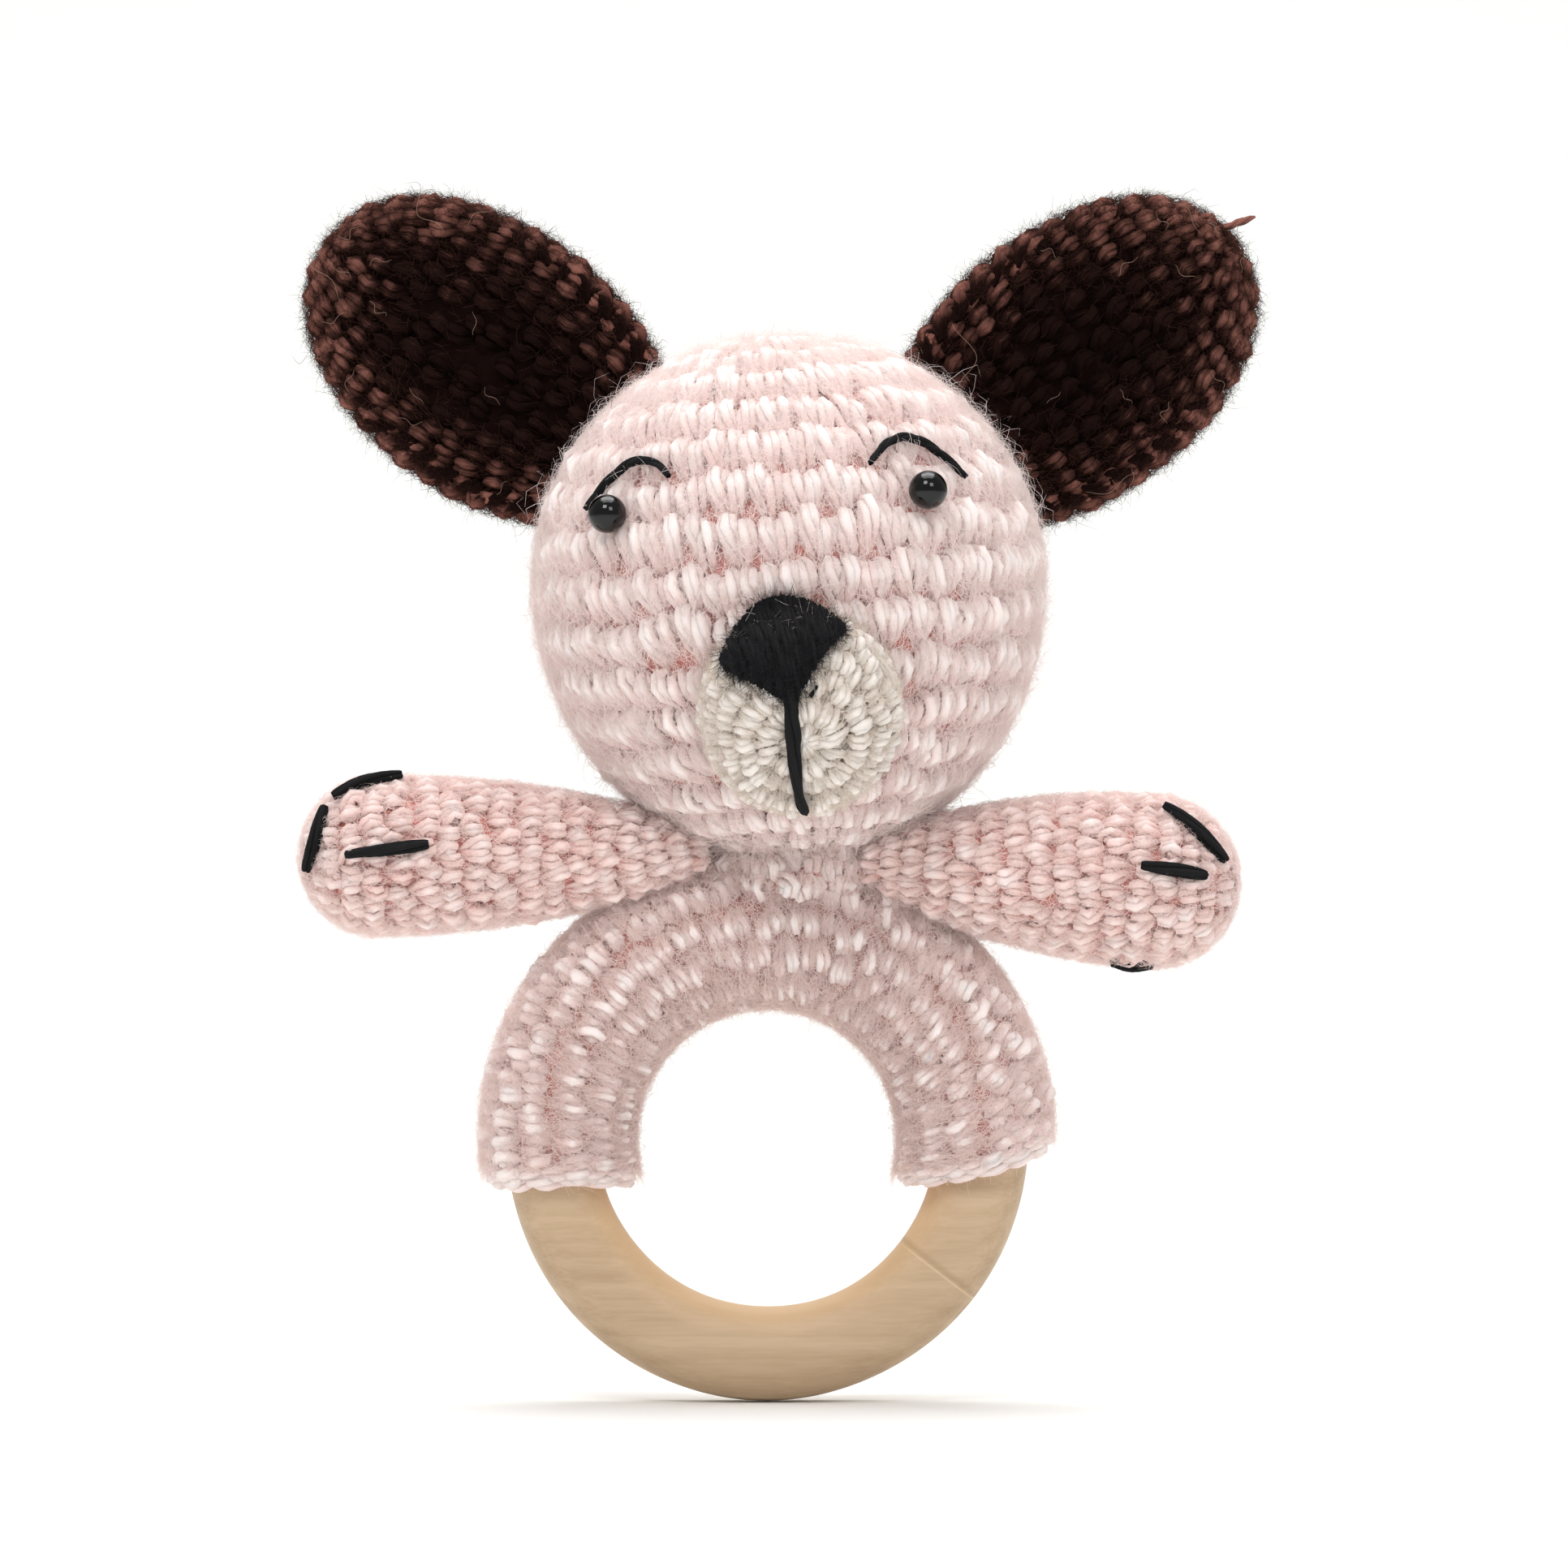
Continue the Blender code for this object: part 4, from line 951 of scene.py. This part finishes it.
def make_ear(side):
    place = ear_place(side)
    cover = Cover(ear_profile(), place, cup=EAR_CUP)
    rounds = rounds_of(cover, 3.9 * MM, 4.2 * MM, -1)
    back = ground(f"{side}_ear_fabric", cover, BROWN_YARN, -1.8 * MM, 56, 40)
    lines, normals, depths, sizes = stitch_legs(cover, rounds, 1.1 * MM, -1, loose=0.1)
    inside = np.array(place.inverted())
    spots = lines @ inside[:3, :3].T + inside[:3, 3]
    towards_face = (normals @ inside[:3, :3].T)[..., 1] < 0
    cupped = cover.middleness(spots[..., 0], spots[..., 2]) * towards_face
    depths = depths.clip(0.3) - EAR_SHADE * cupped
    spun = spin(lines, normals, depths, sizes, **EAR_YARN)
    piece = yarn_piece(f"{side}_ear_rounds", BROWN_YARN, [spun])
    name = f"{side}_ear_loose_fibres"
    # bare leaves the pale fibres out of the middle of the cup's face side: painted shade, together
    # with EAR_SHADE.
    loose = fuzz(name, cover, 26000, BROWN_FUZZ, 2.4 * MM, 0.4 * MM, 0.07 * MM, bare=1.0)
    parts = [back, piece, loose, stray_fibres(f"{side}_ear_stray_fibres", cover, EAR_STRAYS[side])]
    if side == "right":
        end, facing = cover.at(np.full(12, 0.88), np.linspace(3.5, 1.0, 12) * MM, 0.0)
        away = (facing + np.array(place)[:3, 2]) * 2 * MM
        end = end + np.linspace(0, 1, 12)[:, None] ** 1.5 * away
        tail = spin(end[None], facing[None], np.full((1, 12), 0.9), [1], 3, 0.3 * MM, 6 * MM)
        parts.append(yarn_piece("right_ear_yarn_tail", BROWN_YARN, [tail]))
    belong(f"{side}_ear", "brown_yarn", *parts)
    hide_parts(f"{side}_ear", f"{side}_ear_seam_yarn")


def stray_fibres(name, cover, places):
    """Long single fibres that lie over the ear, each with a slow curl, and short ones at random."""
    ends = [(np.array(start) * MM, np.array(end) * MM) for start, end in places]
    front = np.where(chance.uniform(0, 1, 14) < 0.5, 0.0, 1.0) + chance.uniform(-0.2, 0.2, 14)
    roots, facing = cover.at(front, chance.uniform(0.08, 0.8, 14) * cover.length, 0.3 * MM)
    for root, out in zip(roots, facing):
        away = unit(chance.normal(0, 1, 3) * (1, 0.2, 1)) * chance.uniform(2.0, 4.0) * MM
        ends.append((root, root + away + out * 0.8 * MM))
    share = np.linspace(0, 1, 28)[:, None]
    lines = []
    for start, end in ends:
        bow = np.linalg.norm(end - start) * chance.uniform(0.15, 0.28)
        aside = unit(np.cross(end - start, (0, 1, 0)))
        curl = np.sin(share * math.tau * chance.uniform(0.7, 1.5) + chance.uniform(0, math.tau))
        forward = np.array((0, -1, 0)) * bow * share
        lines.append(start + (end - start) * share + aside * curl * bow * share + forward)
    lines = np.array(lines)
    normals = np.broadcast_to((0.0, -1.0, 0.0), lines.shape)
    depths = np.full(lines.shape[:2], 1.0)
    spun = spin(lines, normals, depths, np.ones(len(lines)), 1, 0.032 * MM, 5 * MM, sides=4)
    return yarn_piece(name, STRAY_FIBRE, [spun])


def make_muzzle():
    cover = Cover(muzzle_profile(), muzzle_place())
    rounds = rounds_of(cover, 3.6 * MM, 4.0 * MM, -1)
    back = ground("muzzle_fabric", cover, WHITE_YARN, -1.9 * MM, 40, 20)
    legs = stitch_legs(cover, rounds, 1.35 * MM, -1, loose=0.12)
    spun = [
        spin(*legs, **MUZZLE_YARN),
        spin(*rim_strands(cover), **SEWING_YARN),
    ]
    piece = yarn_piece("muzzle_rounds", WHITE_YARN, spun)
    loose = fuzz("muzzle_loose_fibres", cover, 9000, WHITE_FUZZ, 2.2 * MM, 0.25 * MM, 0.08 * MM)
    belong("head", "white_yarn", back, piece, loose)
    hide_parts("muzzle_cover", "muzzle_seam_yarn")


def rim_strands(cover):
    """Long smooth strands that lie round the muzzle's foot, where it is sewn down."""
    lines, normals = [], []
    for back, lift, count in ((2.6 * MM, -1.3 * MM, 7), (4.4 * MM, -0.9 * MM, 9)):
        share = np.linspace(-0.6, 0.6, 15)[None]
        turn = (np.arange(count)[:, None] + share + chance.uniform(-0.25, 0.25, (count, 1))) / count
        sink = (share / 0.6) ** 4 * 1.4 * MM + chance.uniform(0, 0.5, (count, 1)) * MM
        spots, facing = cover.at(turn, cover.length - back + share * 1.8 * MM, lift - sink)
        lines.append(spots)
        normals.append(facing)
    lines, normals = np.concatenate(lines), np.concatenate(normals)
    return lines, normals, np.full(lines.shape[:2], 0.8), np.ones(len(lines))


# ---------------------------------------------------------------- embroidery


def thread_line(node):
    """The middle line of a thread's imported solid, from one end to the other."""
    co = np.array([v.co for v in frame["nodes"][node].data.vertices], float)
    _, _, axes = np.linalg.svd(co - co.mean(0), full_matrices=False)
    along = (co - co.mean(0)) @ axes[0]
    curve = np.polyfit(along / np.abs(along).max(), co, 4)
    ways = np.linspace(along.min(), along.max(), 24) / np.abs(along).max()
    return np.stack([np.polyval(curve[:, i], ways) for i in range(3)], -1)


def make_thread(node, body, middle, radius, plies=3, lay=12 * MM, sink=0.5 * MM):
    line = thread_line(node)
    normals = unit(line - np.array(middle)[None])
    line = line - normals * sink
    lay_thread(f"{node}_floss", body, line, normals, [1], radius, plies, lay, [node])


def lay_thread(name, body, line, normals, sizes, radius, plies, lay, nodes):
    """One black thread along a line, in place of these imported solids."""
    depths = np.full((1, len(line)), 0.6)
    spun = spin(
        line[None], normals[None], depths, sizes, plies, radius, lay, sides=8, ends=0.6, rough=0.03
    )
    piece = yarn_piece(name, BLACK_YARN, [spun])
    belong(body, "black_thread", piece)
    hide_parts(*nodes)


def face_surface():
    """The head and the muzzle as one surface, for threads to lie on."""
    points, faces = [], []
    turn = np.linspace(0, 1, 96, endpoint=False)[None]
    for profile, place in ((head_profile(), head_place()), (muzzle_profile(), muzzle_place())):
        cover = Cover(profile, place)
        spots, _ = cover.at(turn, np.linspace(0, cover.length, 80)[:, None])
        faces += (grid_quads(80, 96, True) + len(points)).tolist()
        points += spots.reshape(-1, 3).tolist()
    return BVHTree.FromPolygons(points, faces)


def laid_on(surface, places, lift):
    """A smooth line over (x, z) places on the face, raised out of it by lift."""
    out = muzzle_place().to_3x3() @ Vector((0, 0, 1))
    spots = []
    for x, z in places:
        hit = surface.ray_cast(Vector((x, -0.2, z)), Vector((0, 1, 0)))[0]
        spots.append(list(hit + out * lift))
    line = np.array(spots)
    for _ in range(3):
        line[1:-1] = (line[:-2] + 2 * line[1:-1] + line[2:]) / 4
    return line, np.tile(np.array(out), (len(line), 1))


def make_face():
    middle = head_place().translation
    for side in SIDES:
        make_thread(f"{side}_brow_stitch", "head", middle, 0.36 * MM, sink=0.3 * MM)
    surface = face_surface()
    x, z, size = np.array(MOUTH).T
    ways = np.linspace(0, len(x) - 1, 30)
    x, z, size = (np.interp(ways, np.arange(len(part)), part) for part in (x, z, size))
    line, normals = laid_on(surface, zip(x, z), 0.5 * MM)
    nodes = ["mouth_stitch"]
    lay_thread("mouth_floss", "head", line, normals, size, 0.52 * MM, 4, 40 * MM, nodes)
    fleck = [((5.6 + way) * MM, (58.7 + 1.6 * way) * MM) for way in np.linspace(0, 1, 8)]
    line, normals = laid_on(surface, fleck, 0)
    lay_thread("muzzle_black_fleck", "head", line, normals, [1], 0.22 * MM, 2, 6 * MM, [])
    make_nose(surface)


def make_eye(side):
    """A domed bead: a turned cap that rests on the cover, clear gloss over black."""
    co = np.array([v.co for v in frame["nodes"][f"{side}_eye"].data.vertices], float)
    middle = head_place().translation
    away = co - np.array(middle)
    top = co[np.argmax(np.linalg.norm(away, axis=1))]
    _, _, axes = np.linalg.svd(co - co.mean(0), full_matrices=False)
    out = Vector(axes[0])
    if out.dot(Vector(top) - middle) < 0:
        out = -out
    centre = Vector(top) - out * EYE_RADIUS
    rows, columns = 20, 40
    angles = np.linspace(0, EYE_CAP_ANGLE, rows)[:, None, None]
    turns = np.linspace(0, math.tau, columns, endpoint=False)[None, :, None]
    across = out.orthogonal().normalized()
    other = out.cross(across)
    sideways = np.cos(turns) * np.array(across) + np.sin(turns) * np.array(other)
    points = np.array(centre) + EYE_RADIUS * (
        np.sin(angles) * sideways + np.cos(angles) * np.array(out)
    )
    piece = new_piece(f"{side}_eye_bead", points, grid_quads(rows, columns, True), EYE_PLASTIC)
    belong("head", "black_plastic", piece)
    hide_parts(f"{side}_eye")


def nose_edge(x, crown, left, right, power):
    """Height of an edge of the nose at x, on a curve from its crown to its two sides."""
    side = left if x < crown[0] else right
    share = abs(x - crown[0]) / abs(side[0] - crown[0])
    return crown[1] + (side[1] - crown[1]) * share**power


def make_nose(surface):
    """Satin stitch: threads side by side from the nose's top edge down to its point."""
    lines, normals = [], []
    low_left = (NOSE_LEFT[0], NOSE_LEFT[1] - 3.0 * MM)
    low_right = (NOSE_RIGHT[0], NOSE_RIGHT[1] - 0.6 * MM)
    for x in np.linspace(NOSE_LEFT[0], NOSE_RIGHT[0], NOSE_STRANDS):
        x = x + chance.normal(0, 0.1) * MM
        top = nose_edge(x, NOSE_CROWN, NOSE_LEFT, NOSE_RIGHT, 2.2)
        bottom = nose_edge(x, NOSE_POINT, low_left, low_right, 0.9)
        ways = np.linspace(0, 1, 16)
        heights = top + (bottom - top) * ways
        drawn = x + (NOSE_POINT[0] - x) * 0.06 * ways**2
        line, facing = laid_on(surface, zip(drawn, heights), 0.7 * MM)
        swell = np.sin(math.pi * ways.clip(0.02, 0.98)) ** 0.6 * 0.9 * MM
        lines.append(line + facing * swell[:, None])
        normals.append(facing)
    lines, normals = np.array(lines), np.array(normals)
    depths = np.full(lines.shape[:2], 0.5) + chance.normal(0, 0.1, (len(lines), 1))
    spun = spin(lines, normals, depths, np.ones(len(lines)), 2, 0.42 * MM, 8 * MM, ends=0.6)
    piece = yarn_piece("nose_satin_stitch", BLACK_YARN, [spun])
    roots = np.repeat(lines.reshape(-1, 3), 12, axis=0)
    roots = roots + chance.normal(0, 0.25, roots.shape) * MM
    facing = np.repeat(normals.reshape(-1, 3), 12, axis=0)
    down = np.broadcast_to((0.0, 0.0, -1.0), roots.shape)
    loose = loose_fibres(
        "nose_loose_fibres", roots, facing, down, BLACK_FUZZ, 1.8 * MM, 0.25 * MM, 0.07 * MM, 1.0
    )
    belong("head", "black_thread", piece, loose)
    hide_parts("nose_embroidery")


def make_claws(side):
    middle = arm_place(side) @ Vector((0, 0, ARM_REACH[side] - PAW_RADIUS[side]))
    for i in (1, 2, 3):
        node = f"{side}_claw_stitch_{i}"
        sink = 1.1 * MM if node in CLAWS_SEWN_DEEP else 0.35 * MM
        make_thread(node, f"{side}_arm", middle, 0.46 * MM, plies=4, lay=50 * MM, sink=sink)


# ---------------------------------------------------------------- inner pieces


def give(material, slot, *nodes):
    """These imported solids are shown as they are, in this material."""
    for name in nodes:
        solid = frame["nodes"][name]
        for one in solid.material_slots:
            one.material = material


def make_wadding(node, body):
    """Fibre filling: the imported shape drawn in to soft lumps, with loose strands over it."""
    mesh = bmesh.new()
    mesh.from_mesh(frame["nodes"][node].data)
    bmesh.ops.subdivide_edges(mesh, edges=mesh.edges, cuts=2, use_grid_fill=True)
    mesh.normal_update()
    for vertex in mesh.verts:
        lump = noise.noise(vertex.co / (5 * MM)) + 0.5 * noise.noise(vertex.co / (2 * MM))
        vertex.co -= vertex.normal * (0.5 + 0.4 * lump) * MM
    data = bpy.data.meshes.new(f"{node}_wadding")
    mesh.to_mesh(data)
    spots = np.array([vertex.co for vertex in mesh.verts])
    facing = np.array([vertex.normal for vertex in mesh.verts])
    mesh.free()
    data.shade_smooth()
    data.materials.append(WADDING)
    piece = bpy.data.objects.new(data.name, data)
    bpy.context.scene.collection.objects.link(piece)
    chosen = chance.integers(0, len(spots), 2500)
    down = unit(np.cross(facing[chosen], chance.normal(0, 1, (2500, 3))))
    spots, facing = spots[chosen], facing[chosen]
    loose = loose_fibres(
        f"{node}_strands", spots, facing, down, WHITE_FUZZ, 4 * MM, 0.0, 0.08 * MM, 1.0
    )
    belong(body, "fibre_filling", piece, loose)
    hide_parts(node)


def make_inside():
    give(WASHER_PLASTIC, "washer_plastic", "left_eye_washer", "right_eye_washer")
    give(CAPSULE_PLASTIC, "capsule_plastic", "rattle_capsule_upper", "rattle_capsule_lower")
    give(BEAD_PLASTIC, "bead_plastic", *[f"rattle_bead_{i}" for i in range(1, 5)])
    for node in ("head_stuffing_upper", "head_stuffing_lower", "muzzle_stuffing"):
        make_wadding(node, "head")
    for side in SIDES:
        make_wadding(f"{side}_arm_stuffing", f"{side}_arm")


# ---------------------------------------------------------------- studio


def make_studio():
    scene = bpy.context.scene
    world = bpy.data.worlds.new("studio")
    scene.world = world
    world.use_nodes = True
    around = world.node_tree.nodes["Background"]
    around.inputs["Color"].default_value = (1, 1, 1, 1)
    around.inputs["Strength"].default_value = 0.42
    floor_z = solid_box[0].z - 0.2 * MM
    half_width, front, bend_start, bend, top = 1.6, -4.0, 1.1, 0.45, 2.4
    profile = [(front, floor_z), (-half_width, floor_z), (1.0, floor_z)]
    for a in np.linspace(0, math.pi / 2, 12):
        profile.append((bend_start + bend * math.sin(a), floor_z + bend * (1 - math.cos(a))))
    profile.append((bend_start + bend, top))
    points = [[(x, y, z) for x in (-half_width, 0, half_width)] for y, z in profile]
    material, tree = new_material("pale_paper_sweep")
    place = add(tree, "ShaderNodeTexCoord").outputs["Object"]
    tooth = add(tree, "ShaderNodeTexNoise", {"Vector": place, "Scale": 600.0}).outputs["Fac"]
    show(
        tree,
        "ShaderNodeBsdfPrincipled",
        {
            "Base Color": linear("#f7f7f5"),
            "Roughness": 0.9,
            "Normal": relief(tree, tooth, 0.05, MM),
        },
    )
    sweep = new_piece("paper_sweep", points, grid_quads(len(profile), 3, False), material)

    def lamp(name, power, width, spot, aim):
        light = bpy.data.lights.new(name, "AREA")
        light.energy = power
        light.shape = "RECTANGLE"
        light.size = width
        light.size_y = width
        made = bpy.data.objects.new(name, light)
        scene.collection.objects.link(made)
        made.location = spot
        direction = Vector(aim) - Vector(spot)
        made.rotation_mode = "QUATERNION"
        made.rotation_quaternion = direction.to_track_quat("-Z", "Y")

    middle = (0.002, 0, 0.05)
    lamp("key_softbox", 3.6, 0.35, (-0.25, -0.75, 0.80), middle)
    lamp("fill_softbox", 2.0, 0.35, (0.35, -0.85, 0.60), middle)
    lamp("top_softbox", 4.8, 0.7, (0.0, 0.05, 0.95), middle)
    lamp("sweep_softbox", 20.0, 1.6, (0.0, 0.7, 1.9), (0, 1.45, 0.3))

    data = bpy.data.cameras.new("camera")
    camera = bpy.data.objects.new("camera", data)
    scene.collection.objects.link(camera)
    scene.camera = camera
    data.sensor_width = 36
    distance, width = 1.4, 0.210
    data.lens = 36 * distance / width
    camera.location = (0.0023, -distance, 0.0475)
    camera.rotation_euler = (math.pi / 2, 0, 0)
    data.clip_start, data.clip_end = 0.05, 20
    scene.view_settings.view_transform = "Standard"


make_studio()
make_ring()
make_head()
make_neck()
make_sleeve()
for one_side in SIDES:
    make_arm(one_side)
    make_ear(one_side)
    make_eye(one_side)
    make_claws(one_side)
make_muzzle()
make_face()
make_inside()
